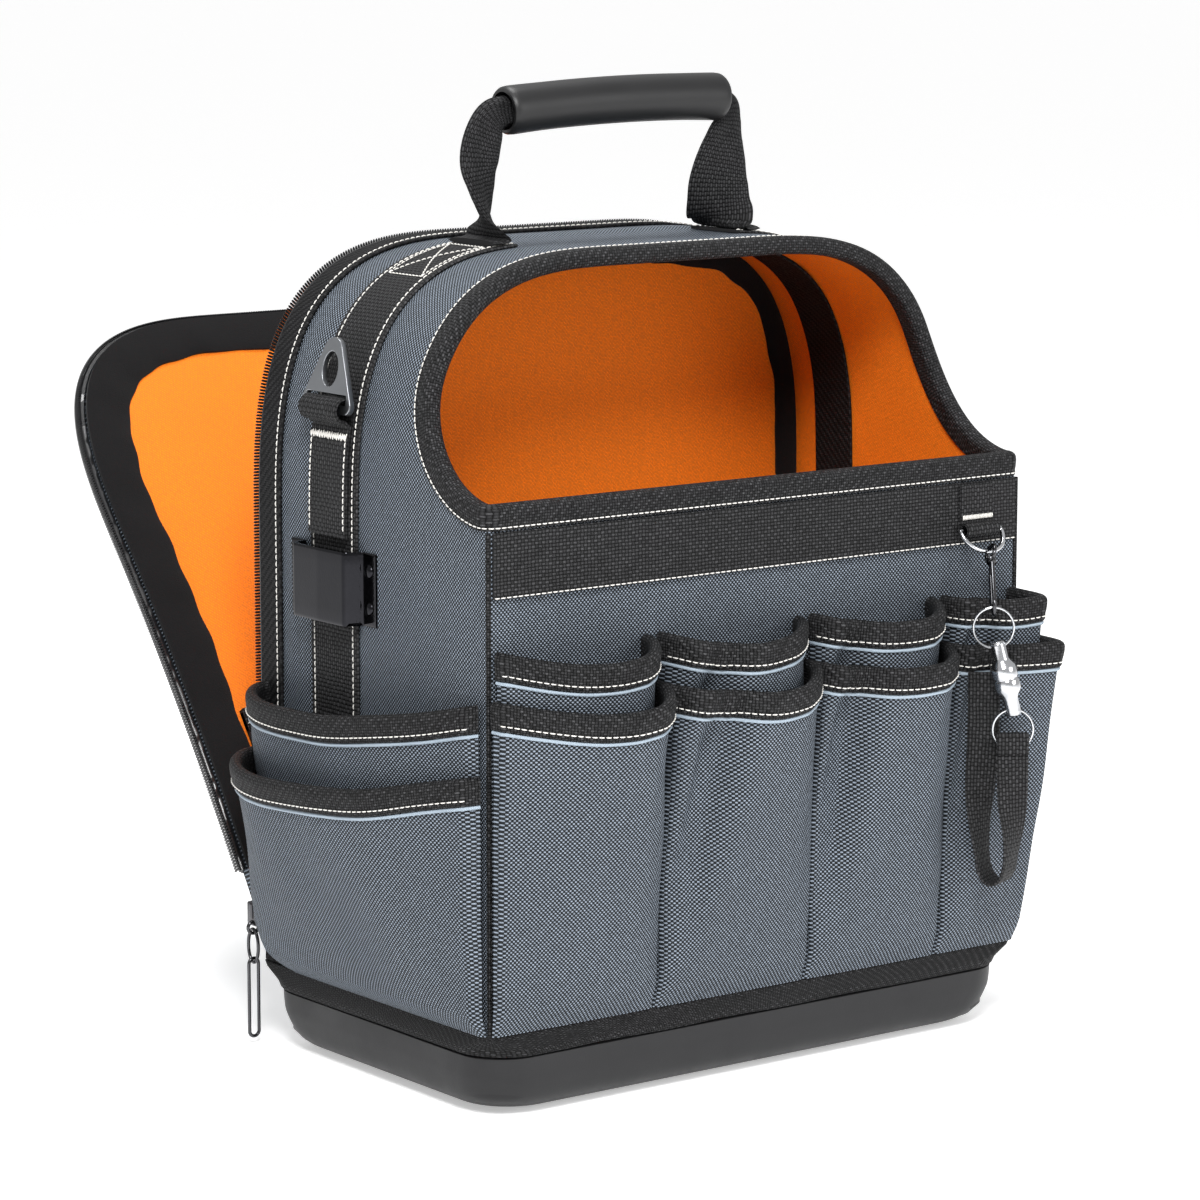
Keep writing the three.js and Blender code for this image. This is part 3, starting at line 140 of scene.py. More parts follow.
def unit(v):
    v = np.asarray(v, float)
    return v / np.maximum(np.linalg.norm(v, axis=-1, keepdims=True), 1e-9)


def spaced(points, step):
    """The same line with points about a step apart."""
    s = lengths(points)
    q = np.linspace(0, s[-1], max(2, int(round(s[-1] / step)) + 1))
    return np.stack([np.interp(q, s, points[:, k]) for k in range(points.shape[1])], 1)


def blurred(points, count, mode="edge", **pad):
    """Running mean of each column over an odd count of points."""
    kernel = np.ones(count) / count
    return np.stack([np.convolve(np.pad(points[:, k], count // 2, mode, **pad), kernel, "valid")
                     for k in range(points.shape[1])], 1)


def ribbon(path, section):
    """A band's thickness carried along a flat path."""
    tangent = unit(np.gradient(path, axis=0))
    normal = np.stack([-tangent[:, 1], tangent[:, 0]], 1)
    return path[:, None] + normal[:, None] * section[None, :, 1:]


def grid_uv(u, v):
    return np.stack(np.meshgrid(u, v, indexing="ij"), -1)


class Form:
    """Points and faces of one mesh, with flat cloth coordinates on each face corner."""

    def __init__(self):
        self.points, self.faces, self.uvs, self.looks, self.caps = [], [], [], [], []
        self.count = 0

    def add(self, points):
        points = np.asarray(points, float)
        ids = np.arange(self.count, self.count + points[..., 0].size).reshape(points.shape[:-1])
        self.points.append(points.reshape(-1, 3))
        self.count += ids.size
        return ids

    def quads(self, ids, uv, look=0):
        corners = [(slice(None, -1), slice(None, -1)), (slice(1, None), slice(None, -1)),
                   (slice(1, None), slice(1, None)), (slice(None, -1), slice(1, None))]
        self.faces.append(np.stack([ids[c].ravel() for c in corners], 1))
        self.uvs.append(np.stack([uv[c].reshape(-1, 2) for c in corners], 1))
        self.looks.append(np.full(len(self.faces[-1]), look))

    def cap(self, ids, look=0, uv=None):
        ids = list(ids)
        self.caps.append((ids, np.zeros((len(ids), 2)) if uv is None else uv, look))

    def shell(self, outer, inner, uv, looks=(0, 0, 0)):
        """A sheet with two faces, closed round its edges."""
        a, b = self.add(outer), self.add(inner)
        self.quads(a, uv, looks[0])
        self.quads(b, uv, looks[1])
        for side in (0, -1):
            self.quads(np.stack([a[:, side], b[:, side]], 1),
                       np.stack([uv[:, side], uv[:, side] + 1.0], 1), looks[2])
            self.quads(np.stack([a[side], b[side]], 0),
                       np.stack([uv[side], uv[side] + 1.0], 0), looks[2])

    def loft(self, sections, u=None, v=None, ring=False, look=0):
        """A solid through like closed sections, capped or joined into a ring."""
        sections = np.asarray(sections, float)
        rows, sides = sections.shape[:2]
        ids = self.add(sections)
        ids = np.hstack([ids, ids[:, :1]])
        if u is None:
            mid = sections.mean(1)
            u = lengths(np.vstack([mid, mid[:1]]) if ring else mid)
        if v is None:
            loop = sections[rows // 2]
            v = lengths(np.vstack([loop, loop[:1]]))
        if ring:
            ids = np.vstack([ids, ids[:1]])
        self.quads(ids, grid_uv(u, v), look)
        if not ring:
            self.cap(ids[0, :-1], look)
            self.cap(ids[-1, :-1], look)

    def tube(self, points, radius, sides=10, closed=False, look=0):
        p = np.asarray(points, float)
        t = np.roll(p, -1, 0) - np.roll(p, 1, 0) if closed else np.gradient(p, axis=0)
        t = unit(t)
        n = np.cross(t[0], [0.3, 0.2, 1.0])
        first = []
        for way in t:
            n = unit(n - way * np.dot(n, way))
            first.append(n)
        first = np.array(first)
        second = np.cross(t, first)
        turn = 2 * np.pi * (np.arange(sides) + 0.5) / sides
        r = np.broadcast_to(np.asarray(radius, float), (len(p),))[:, None, None]
        rings = p[:, None] + r * (first[:, None] * np.cos(turn)[None, :, None]
                                  + second[:, None] * np.sin(turn)[None, :, None])
        self.loft(rings, ring=closed, look=look)

    def pills(self, centres, axis, up, half, radius, bend=0.0, look=0, sides=6):
        """Many short threads or teeth, each a rounded bar along its axis."""
        centres, axis, up = (np.asarray(x, float) for x in (centres, unit(axis), unit(up)))
        side = unit(np.cross(axis, up))
        place = np.array([-1, -0.72, 0, 0.72, 1.0])
        girth = np.array([0.35, 0.88, 1, 0.88, 0.35]) * radius
        lift = bend * (1 - place**2)
        mid = (centres[:, None] + axis[:, None] * (place * half)[None, :, None]
               + up[:, None] * lift[None, :, None])
        turn = 2 * np.pi * (np.arange(sides) + 0.5) / sides
        ring = (side[:, None, None] * np.cos(turn)[None, None, :, None]
                + up[:, None, None] * np.sin(turn)[None, None, :, None])
        ids = self.add(mid[:, :, None] + ring * girth[None, :, None, None])
        wrap = np.concatenate([ids, ids[:, :, :1]], 2)
        corners = [wrap[:, :-1, :-1], wrap[:, 1:, :-1], wrap[:, 1:, 1:], wrap[:, :-1, 1:]]
        faces = [np.stack([c.ravel() for c in corners], 1)]
        for end in (0, -1):
            loop = ids[:, end]
            faces.append(np.concatenate([loop[:, [0, 1, 2, 3]], loop[:, [3, 4, 5, 0]]]))
        faces = np.concatenate(faces)
        self.faces.append(faces)
        self.uvs.append(np.zeros((len(faces), 4, 2)))
        self.looks.append(np.full(len(faces), look))

    def build(self, name, materials, sharp=45):
        mesh = bpy.data.meshes.new(name)
        polygons = [f for block in self.faces for f in block.tolist()]
        polygons += [c[0] for c in self.caps]
        mesh.from_pydata((np.concatenate(self.points) * MM).tolist(), [], polygons)
        uv = [block.reshape(-1, 2) for block in self.uvs] + [np.asarray(c[1]) for c in self.caps]
        layer = mesh.uv_layers.new(name="UVMap")
        layer.data.foreach_set("uv", (np.concatenate(uv) * MM).ravel())
        looks = np.concatenate(self.looks + [np.array([c[2] for c in self.caps], int)])
        mesh.polygons.foreach_set("material_index", looks.astype(int))
        mesh.polygons.foreach_set("use_smooth", np.ones(len(looks), bool))
        for material in materials:
            mesh.materials.append(material)
        solid = bmesh.new()
        solid.from_mesh(mesh)
        bmesh.ops.recalc_face_normals(solid, faces=solid.faces)
        solid.to_mesh(mesh)
        solid.free()
        mesh.set_sharp_from_angle(angle=math.radians(sharp))
        piece = bpy.data.objects.new(name, mesh)
        bpy.context.scene.collection.objects.link(piece)
        return piece


def keep(piece, slot, nodes=(), body=BAG):
    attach(piece, body)
    if nodes:
        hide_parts(*nodes)
    return piece


# Materials
class Graph:
    """A material whose nodes are added step by step."""

    def __init__(self, name, **constants):
        self.material = bpy.data.materials.new(name)
        self.material.use_nodes = True
        self.tree = self.material.node_tree
        self.tree.nodes.clear()
        self.shader = self.node("ShaderNodeBsdfPrincipled")
        output = self.node("ShaderNodeOutputMaterial")
        self.tree.links.new(self.shader.outputs["BSDF"], output.inputs["Surface"])
        for key, value in constants.items():
            self.shader.inputs[key.replace("_", " ")].default_value = value

    def node(self, kind, **settings):
        made = self.tree.nodes.new(kind)
        for key, value in settings.items():
            setattr(made, key, value)
        return made

    def put(self, socket, value):
        if isinstance(value, bpy.types.NodeSocket):
            self.tree.links.new(value, socket)
        else:
            socket.default_value = value

    def math(self, operation, *values):
        made = self.node("ShaderNodeMath", operation=operation)
        for socket, value in zip(made.inputs, values):
            self.put(socket, value)
        return made.outputs[0]

    def mix(self, share, a, b):
        made = self.node("ShaderNodeMix", data_type="RGBA")
        self.put(made.inputs[0], share)
        for socket, value in ((made.inputs[6], a), (made.inputs[7], b)):
            self.put(socket, value if isinstance(value, bpy.types.NodeSocket) else (*value, 1.0))
        return made.outputs[2]

    def shade(self, colour, amount):
        made = self.node("ShaderNodeMix", data_type="RGBA", blend_type="MULTIPLY")
        made.inputs[0].default_value = 1.0
        self.put(made.inputs[6], colour if isinstance(colour, bpy.types.NodeSocket)
                 else (*colour, 1.0))
        grey = self.node("ShaderNodeCombineColor")
        for socket in grey.inputs[:3]:
            self.put(socket, amount)
        self.put(made.inputs[7], grey.outputs[0])
        return made.outputs[2]

    def coords(self, which="Object"):
        return self.node("ShaderNodeTexCoord").outputs[which]

    def noise(self, scale, detail=3.0, which="Object", rough=0.5, stretch=None):
        made = self.node("ShaderNodeTexNoise")
        vector = self.coords(which)
        if stretch:
            mapping = self.node("ShaderNodeMapping")
            mapping.inputs["Scale"].default_value = stretch
            self.put(mapping.inputs["Vector"], vector)
            vector = mapping.outputs[0]
        self.put(made.inputs["Vector"], vector)
        made.inputs["Scale"].default_value = scale
        made.inputs["Detail"].default_value = detail
        made.inputs["Roughness"].default_value = rough
        return made.outputs[0]

    def between(self, value, low, high):
        return self.math("ADD", self.math("MULTIPLY", value, high - low), low)

    def bump(self, height, distance, strength=1.0, normal=None):
        made = self.node("ShaderNodeBump")
        made.inputs["Strength"].default_value = strength
        made.inputs["Distance"].default_value = distance
        self.put(made.inputs["Height"], height)
        if normal is not None:
            self.put(made.inputs["Normal"], normal)
        return made.outputs[0]

    def finish(self, colour, roughness, normal=None):
        self.put(self.shader.inputs["Base Color"], colour)
        self.put(self.shader.inputs["Roughness"], roughness)
        if normal is not None:
            self.put(self.shader.inputs["Normal"], normal)
        return self.material


def woven(name, warp, weft, pitch, period=2, over=1, depth=0.16, roughness=(0.55, 0.85),
          uneven=0.35, painted_gap_shade=0.35, dust=0.12, **constants):
    """Cloth of crossing yarns: warp runs along v and weft along u, in metres of cloth."""
    g = Graph(name, **constants)
    uv = g.node("ShaderNodeSeparateXYZ")
    g.put(uv.inputs[0], g.coords("UV"))
    drift = g.noise(90.0, 1.0, "UV")
    x = g.math("ADD", g.math("DIVIDE", uv.outputs[0], pitch[0] * MM),
               g.math("MULTIPLY", drift, 0.5))
    y = g.math("ADD", g.math("DIVIDE", uv.outputs[1], pitch[1] * MM),
               g.math("MULTIPLY", drift, 0.5))
    column, row = g.math("FLOOR", x), g.math("FLOOR", y)
    fx, fy = g.math("SUBTRACT", x, column), g.math("SUBTRACT", y, row)

    def bow(share):
        centred = g.math("SUBTRACT", g.math("MULTIPLY", share, 2.0), 1.0)
        return g.math("SUBTRACT", 1.0, g.math("MULTIPLY", centred, centred))

    bow_x, bow_y = bow(fx), bow(fy)
    step = g.math("FLOORED_MODULO", g.math("ADD", column, row), float(period))
    is_warp = g.math("LESS_THAN", step, over - 0.5)
    warp_height = g.math("MULTIPLY", bow_x, g.between(bow_y, 0.5, 1.0))
    weft_height = g.math("MULTIPLY", bow_y, g.between(bow_x, 0.5, 1.0))
    height = g.math("ADD", g.math("MULTIPLY", warp_height, is_warp),
                    g.math("MULTIPLY", weft_height, g.math("SUBTRACT", 1.0, is_warp)))
    cell = g.node("ShaderNodeTexWhiteNoise", noise_dimensions="2D")
    place = g.node("ShaderNodeCombineXYZ")
    g.put(place.inputs[0], column)
    g.put(place.inputs[1], row)
    g.put(cell.inputs["Vector"], place.outputs[0])
    colour = g.mix(is_warp, weft, warp)
    tone = g.between(cell.outputs["Value"], 1 - uneven, 1 + uneven * 0.6)
    # Painted shade: the colour darkens with the yarn height, darkest down in the gaps between yarns
    # and lightest on their crowns.
    tone = g.math("MULTIPLY", tone, g.between(height, painted_gap_shade, 1.1))
    worn = g.between(g.noise(9.0, 4.0), 1 - dust, 1 + dust)
    colour = g.shade(colour, g.math("MULTIPLY", tone, worn))
    fibre = g.noise(2600.0, 1.0, "UV")
    relief = g.math("ADD", height, g.math("MULTIPLY", fibre, 0.22))
    normal = g.bump(relief, depth * MM, 0.9)
    rough = g.between(cell.outputs["Value"], *roughness)
    return g.finish(colour, rough, normal)


def fuzzy(name, colour):
    g = Graph(name, Sheen_Weight=0.06, Sheen_Roughness=0.5, Specular_IOR_Level=0.1)
    pile = g.noise(1500.0, 3.0)
    worn = g.noise(28.0, 4.0)
    tone = g.math("MULTIPLY", g.between(pile, 0.55, 1.35), g.between(worn, 0.7, 1.3))
    return g.finish(g.shade(colour, tone), 0.95,
                    g.bump(g.math("ADD", pile, g.math("MULTIPLY", worn, 0.8)), 0.0004, 0.7))


def solid(name, colour, roughness, grain=900.0, depth=0.00006, metallic=0.0, smudge=0.25,
          stretch=None, **constants):
    g = Graph(name, Metallic=metallic, **constants)
    fine, broad = g.noise(grain, 2.0, stretch=stretch), g.noise(45.0, 5.0, rough=0.65)
    tone = g.between(broad, 1 - smudge * 0.5, 1 + smudge * 0.4)
    rough = g.math("ADD", g.between(broad, roughness * (1 - smudge), roughness * (1 + smudge)),
                   g.math("MULTIPLY", fine, 0.05))
    return g.finish(g.shade(colour, tone), rough, g.bump(fine, depth, 0.5))


SLATE = woven("slate_fabric", (0.006, 0.008, 0.010), (0.25, 0.292, 0.35), (1.05, 1.05),
              uneven=0.18, painted_gap_shade=0.02, depth=0.32, Specular_IOR_Level=0.25)
ORANGE = woven("orange_lining", (0.98, 0.25, 0.014), (0.90, 0.21, 0.010), (0.7, 0.7),
               period=3, over=1, uneven=0.15, painted_gap_shade=0.6, depth=0.14, dust=0.06,
               Specular_IOR_Level=0.2)
WEBBING = woven("webbing", (0.028, 0.028, 0.029), (0.048, 0.048, 0.050), (2.0, 1.7),
                uneven=0.35, painted_gap_shade=-0.05, depth=0.7, roughness=(0.5, 0.8), dust=0.2,
                Specular_IOR_Level=0.12)
BINDING = woven("binding", (0.024, 0.024, 0.025), (0.050, 0.050, 0.052), (1.5, 1.4),
                period=3, over=2, uneven=0.6, painted_gap_shade=-0.05, depth=0.5, roughness=(0.5, 0.8),
                dust=0.2, Specular_IOR_Level=0.12)
TAPE = woven("zip_tape", (0.008, 0.008, 0.009), (0.026, 0.026, 0.027), (1.1, 1.1),
             period=4, over=2, uneven=0.5, painted_gap_shade=0.0, depth=0.25, Specular_IOR_Level=0.12)
FUZZ = fuzzy("brushed_binding", (0.006, 0.006, 0.0065))
THREAD = solid("thread", (0.74, 0.72, 0.68), 0.62, grain=2400.0, depth=0.00015, smudge=0.3)
PIPING = solid("piping", (0.28, 0.34, 0.40), 0.6, grain=1600.0, depth=0.0001, smudge=0.15)
COIL = solid("zip_coil", (0.009, 0.009, 0.010), 0.26, Coat_Weight=0.2, Coat_Roughness=0.15)
TUB = solid("tub_plastic", (0.012, 0.012, 0.013), 0.5, grain=1300.0, depth=0.00012, smudge=0.3,
            Specular_IOR_Level=0.35)
RUBBER = solid("grip_rubber", (0.007, 0.007, 0.0075), 0.42, grain=1500.0, depth=0.00006,
               Specular_IOR_Level=0.4)
PEWTER = solid("pewter", (0.26, 0.27, 0.285), 0.33, metallic=1.0, grain=700.0)
GUNMETAL = solid("gunmetal", (0.075, 0.075, 0.08), 0.14, metallic=1.0, smudge=0.5)
BLACK_CHROME = solid("black_chrome", (0.022, 0.022, 0.025), 0.05, metallic=1.0, smudge=0.4)
CHROME = solid("chrome", (0.58, 0.59, 0.61), 0.15, metallic=1.0, smudge=0.5)


SLOTS = {SLATE: "slate_fabric", PIPING: "slate_fabric", ORANGE: "orange_lining", TUB: "base_tub",
         RUBBER: "grip", PEWTER: "pewter", GUNMETAL: "gunmetal", BLACK_CHROME: "gunmetal",
         CHROME: "chrome"}


def dress(form, name, materials, nodes=(), sharp=45):
    """Make a form's piece, attach it to the bag's body and hide the named imported parts."""
    return keep(form.build(name, materials, sharp), SLOTS.get(materials[0], "black_webbing"), nodes)


# Body shape
def inset_at(z):
    share = np.clip((np.asarray(z, float) - SHOULDER) / SHOULDER_RISE, 0, 1)
    return SHOULDER_RUN * (1 - np.cbrt(1 - share**3))


class Arch:
    """Outline of the body seen from the front, by distance from its left foot."""

    def __init__(self):
        t = (np.linspace(0, 1, 600) ** 1.5) * np.pi / 2
        t = np.concatenate([t, np.pi / 2 - t[::-1]])
        t = np.unique(np.round(t, 9))
        share, rest = np.cbrt(np.sin(t)) ** 2, np.cbrt(np.cos(t)) ** 2
        bend = np.stack([-(HALF - SHOULDER_RUN * (1 - rest)), SHOULDER + SHOULDER_RISE * share], 1)
        rise = np.stack([np.full(80, -HALF), np.linspace(0, SHOULDER, 81)[:-1]], 1)
        left = np.concatenate([rise, bend])
        line = spaced(np.concatenate([left, left[::-1] * [-1, 1]]), 1.0)
        self.s = lengths(line)
        self.line = line
        run = np.gradient(line, axis=0)
        run = unit(blurred(run, 9))
        self.out = np.stack([-run[:, 1], run[:, 0]], 1)
        self.length = self.s[-1]
        middle = len(line) // 2
        self.up = (line[:middle, 1], self.s[:middle])
        self.low_x = (line[:middle, 0], self.s[:middle])

    def s_at(self, z):
        return np.interp(z, *self.up)

    def s_at_x(self, x):
        return np.interp(-abs(x), *self.low_x)

    def z_at(self, s):
        return np.interp(s, self.s, self.line[:, 1])

    def point(self, s, offset, y):
        s, offset, y = np.broadcast_arrays(*(np.asarray(a, float) for a in (s, offset, y)))
        x, z = (np.interp(s, self.s, self.line[:, k]) for k in (0, 1))
        nx, nz = (np.interp(s, self.s, self.out[:, k]) for k in (0, 1))
        return np.stack([x + nx * offset, y, z + nz * offset], -1)

    def out_at(self, s):
        s = np.asarray(s, float)
        nx, nz = (np.interp(s, self.s, self.out[:, k]) for k in (0, 1))
        return np.stack([nx, np.zeros_like(nx), nz], -1)


ARCH = Arch()


def rim_y(s):
    z = ARCH.z_at(s)
    turn = np.arccos(1 - np.clip((z - EDGE) / RIM_RISE, 0, 1))
    return FRONT + RIM_RUN * np.sin(turn)


def rounded_ring(half_x, half_y, corner, z, turns=12, straight=14):
    ring = []
    signs = [(1, 1, 0), (-1, 1, 90), (-1, -1, 180), (1, -1, 270)]
    for sx, sy, start in signs:
        turn = np.radians(start + 90 * np.arange(turns + 1) / turns)
        ring.append(np.stack([sx * (half_x - corner) + corner * np.cos(turn),
                              sy * (half_y - corner) + corner * np.sin(turn)], 1))
    full = []
    for k, arc in enumerate(ring):
        after = ring[(k + 1) % 4][0]
        share = np.linspace(0, 1, straight + 2)[1:-1, None]
        full += [arc, arc[-1] + (after - arc[-1]) * share]
    flat = np.concatenate(full)
    return np.column_stack([flat, np.full(len(flat), z)])


# Base
def make_tub():
    outer = catmull([(0.0, 1.0, 1.0), (0.0, 0.9, 0.8), (0.02, 0.75, 0.6), (0.14, 0.4, 0.3),
                     (0.36, 0.25, 0.13), (0.68, 0.1, 0.03), (1, 0, 0)], 26)
    rings = []
    for step, corner, height in [(3, 0.7, 0), (1.0, 0.8, 0.02), (0, 0.85, 0.2), (0, 1, 0.96)]:
        step, radius = step * 4.0, max(34 - 10 * corner - 4 - step * 4 * 0.6, 6)
        rings.append(rounded_ring(HALF - 4 - step, -FRONT - 4 - step, radius, 4 + 26 * height))
    rings.append(rounded_ring(HALF - 3.2, -FRONT - 3.2, 20.8, 29.8))
    rings.append(rounded_ring(HALF - 0.8, -FRONT - 0.8, 23.2, 29.8))
    for inset, corner, height in outer:
        step = inset * 22
        radius = max(34 - 10 * corner - step * 0.6, 6)
        rings.append(rounded_ring(HALF - step, -FRONT - step, radius, max(0, 29.2 * height)))
    form = Form()
    form.loft(np.array(rings))
    dress(form, "tub", [TUB], ["base_tub"])


def make_floor():
    form = Form()
    levels = [(20, 4.4), (18.2, 5.2), (18, 7), (18.4, 8.6), (20, 9.2), (60, 9.3)]
    form.loft(np.array([rounded_ring(HALF - i, -FRONT - i, max(12 - (i - 18) * 0.3, 3), z)
                        for i, z in levels]))
    dress(form, "floor_pad", [ORANGE], ["floor_panel"])


def make_base_binding():
    form = Form()
    profile = [(-4.6, 30.6), (0.6, 30.4), (1.5, 31.2), (1.75, 34), (1.8, 37), (1.75, 40),
               (1.4, 42.3), (0.4, 43.0), (-4.6, 42.8)]
    rings = []
    for stand, z in profile:
        share = (z - 30.3) / 12.7
        corner = 24 - 20 * smooth(share, 0.1, 1.0) + stand
        rings.append(rounded_ring(HALF + stand, -FRONT + stand, max(corner, 1.0), z))
    rings = np.array(rings)
    wobble = 0.25 * waves(rings[..., 0], rings[..., 1], 3, 50)
    rings[..., 2] += wobble
    sections = rings.transpose(1, 0, 2)
    form.loft(sections, ring=True)
    dress(form, "base_binding_cloth", [BINDING], ["base_binding"])


# Walls
def make_front_wall():
    bend = 2.6
    flat = np.linspace(-(HALF - bend), HALF - bend, 61)
    turn = np.radians(np.linspace(90, 0, 6))[:-1]
    left = np.stack([-(HALF - bend) - bend * np.cos(turn), FRONT + bend - bend * np.sin(turn)], 1)
    left = left[::-1]
    line = np.concatenate([[[-HALF, -92.0]], left, np.stack([flat, np.full(61, FRONT)], 1),
                           left[::-1] * [-1, 1], [[HALF, -92.0]]])
    z = np.linspace(FOOT - 0.9, EDGE, 44)
    u = lengths(line)
    uv = grid_uv(u, z)
    outer = np.zeros((len(line), len(z), 3))
    outer[..., 0], outer[..., 1], outer[..., 2] = line[:, :1], line[:, 1:], z
    mask = smooth(u, 6, 30)[:, None] * smooth(u[-1] - u, 6, 30)[:, None]
    outer[..., 1] += mask * (0.5 + 0.5 * waves(uv[..., 0], uv[..., 1], 5, 70)) * 0.8
    inner = outer.copy()
    inner[..., 0] = np.clip(inner[..., 0], -HALF + WALL, HALF - WALL)
    inner[..., 1] = FRONT + WALL - mask * waves(uv[..., 0], uv[..., 1], 6, 90) * 0.6
    form = Form()
    form.shell(outer, inner, uv, (0, 1, 0))
    piece = dress(form, "front_wall_pad", [SLATE, ORANGE], ["front_wall"])


def make_gusset():
    s = np.linspace(FOOT - 0.9, ARCH.length - FOOT + 0.9, 300)
    share = np.linspace(0, 1, 44)
    low = np.maximum(-92.0, rim_y(s))[:, None]
    y = low + (GUSSET_BACK - low) * share
    uv = pair(s[:, None], y)
    near_strap = smooth(np.abs(y - STRAP_Y), STRAP_HALF - 4, STRAP_HALF + 10)
    edge = smooth(y - low, 2, 22) * smooth(GUSSET_BACK - 18 - y, 0, 10)
    puff = edge * near_strap * (0.75 + 0.5 * waves(uv[..., 0], y, 8, 60))
    outer = ARCH.point(uv[..., 0], puff * 1.2 - 0.1, y)
    inside = smooth(y - low, 2, 20) * waves(uv[..., 0], y, 9, 80) * 0.7
    inner = ARCH.point(uv[..., 0], -WALL - inside, y)
    form = Form()
    form.shell(outer, inner, uv, (0, 1, 0))
    piece = dress(form, "gusset_pad", [SLATE, ORANGE], ["gusset_band"])


def fold_section(clear, full, height, top):
    """Outline of a binding folded over an edge: (out from the cloth's middle, down from it)."""
    side = [(full - 0.9, height), (full - 0.35, height - 0.9), (full - 0.55, height * 0.74),
            (full - 0.15, height * 0.5), (full, height * 0.25), (full - 0.1, 1.6)]
    turn = np.radians(np.linspace(10, 170, 9))
    crest = [((full - 0.1) * np.cos(a), 1.4 - (top + 1.4) * np.sin(a)) for a in turn]
    other = [(-a, b) for a, b in reversed(side)]
    inside = [(-clear, height), (-clear, 0.4), (-clear * 0.5, -0.1), (clear * 0.5, -0.1),
              (clear, 0.4), (clear, height)]
    return np.array(side + crest + other + inside)


def rim_places():
    """Stations round the rim, each a function from (out, down) to points."""
    start = math.degrees(math.asin(5.5 / RIM_RUN))
    turn = np.radians(np.linspace(start, 90, 40))
    z = EDGE + RIM_RISE * (1 - np.cos(turn))
    left = np.stack([ARCH.s_at(z), FRONT + RIM_RUN * np.sin(turn)], 1)
    right = np.stack([ARCH.length - left[::-1, 0], left[::-1, 1]], 1)
    path = spaced(np.concatenate([left, right]), 4.0)
    way = unit(np.gradient(path, axis=0))
    places = []
    for (s, y), (ws, wy) in zip(path, way):
        places.append(lambda o, d, s=s, y=y, ws=ws, wy=wy: ARCH.point(
            s - wy * d, o - WALL / 2, y + ws * d))
    radius = 3.0

    def corner(side, phi):
        def place(o, d):
            o, d = np.broadcast_arrays(np.asarray(o, float), np.asarray(d, float))
            reach = np.where(o >= -radius, radius + o, 0)
            back = np.where(o < -radius, -(o + radius), 0)
            x = side * (HALF - 5.5 + reach * math.cos(phi) - back)
            y = -91.0 - reach * math.sin(phi) + back
            return np.stack([x, y, EDGE + 0.28 - d], -1)
        return place

    turns = np.linspace(0, math.pi / 2, 7)[1:-1]
    places += [corner(1, t) for t in turns]
    for x in np.linspace(HALF - 6, -(HALF - 6), 66):
        places.append(lambda o, d, x=x: np.stack(np.broadcast_arrays(
            x, FRONT + WALL / 2 - np.asarray(o, float), EDGE + 0.28 - np.asarray(d, float)), -1))
    places += [corner(-1, t) for t in turns[::-1]]
    return places


def make_rim():
    places = rim_places()
    section = fold_section(WALL / 2 + 0.5, WALL / 2 + 2.1, 10.4, 1.9)
    sections = np.array([place(section[:, 0], section[:, 1]) for place in places])
    form = Form()
    form.loft(sections, ring=True)
    dress(form, "rim_binding_cloth", [BINDING], ["rim_binding"])
    line = np.array([place(4.15, 8.9) for place in places])
    out = unit(np.array([place(5.2, 8.9) for place in places]) - line)
    return np.vstack([line, line[:1]]), np.vstack([out, out[:1]])


# Stitches
SEWN = Form()


def sew(line, out, pitch=3.3, half=1.3, radius=0.33, form=SEWN):
    line, out = np.asarray(line, float), np.asarray(out, float)
    s = lengths(line)
    count = max(1, int(s[-1] // pitch))
    q = (np.arange(count) + 0.5) * s[-1] / count

    def at(values, where):
        return np.stack([np.interp(where, s, values[:, k]) for k in range(3)], 1)

    way = at(line, q + 0.6) - at(line, q - 0.6)
    form.pills(at(line, q), way, at(out, q), half, radius, bend=0.28)


def strap_section(width, thickness, columns=9):
    """Rounded flat section: (across, out from its middle)."""
    half, low = width / 2, thickness / 2
    across = np.linspace(-half + 0.5, half - 0.5, columns)
    top = np.stack([across, np.full(columns, low)], 1)
    ends = np.array([[half, 0.0]])
    return np.concatenate([top, ends, top[::-1] * [1, -1], -ends])


def strap_v(section):
    return np.concatenate([section[:, 0], section[:1, 0]])


def make_front_webbing():
    form = Form()
    section = strap_section(WEBBING_WIDE, BAND_THICK, 13)
    x = np.linspace(-160.8, 160.8, 90)
    mid = WEBBING_TOP + 1.5 - WEBBING_WIDE / 2
    z = mid + section[:, 0]
    sections = np.zeros((len(x), len(section), 3))
    sections[..., 0] = x[:, None]
    sections[..., 1] = FRONT - 1.05 - section[:, 1] - 0.25 * waves(x[:, None], z, 14, 60)
    sections[..., 2] = z
    form.loft(sections, v=strap_v(section))
    dress(form, "front_webbing_band", [WEBBING], ["front_webbing"])
    line = np.stack([x, np.full(90, FRONT - 2.0), np.full(90, mid - WEBBING_WIDE / 2 + 0.7)], 1)
    sew(line, np.tile([0, -1.0, 0], (90, 1)))


def arch_strap(form, low, high, centre, width, thickness, offset, columns=9, step=4.0):
    section = strap_section(width, thickness, columns)
    s = np.linspace(low, high, max(3, int(abs(high - low) / step)))
    bow = 0.12 * waves(s[:, None], section[:, 0], 17, 40)
    form.loft(ARCH.point(s[:, None], offset + section[:, 1] + bow, centre + section[:, 0]),
              u=s, v=strap_v(section))


def arch_sew(low, high, y, offset, **more):
    s = np.linspace(low, high, max(4, int(abs(high - low) / 3)))
    sew(ARCH.point(s, offset, y), ARCH.out_at(s), **more)


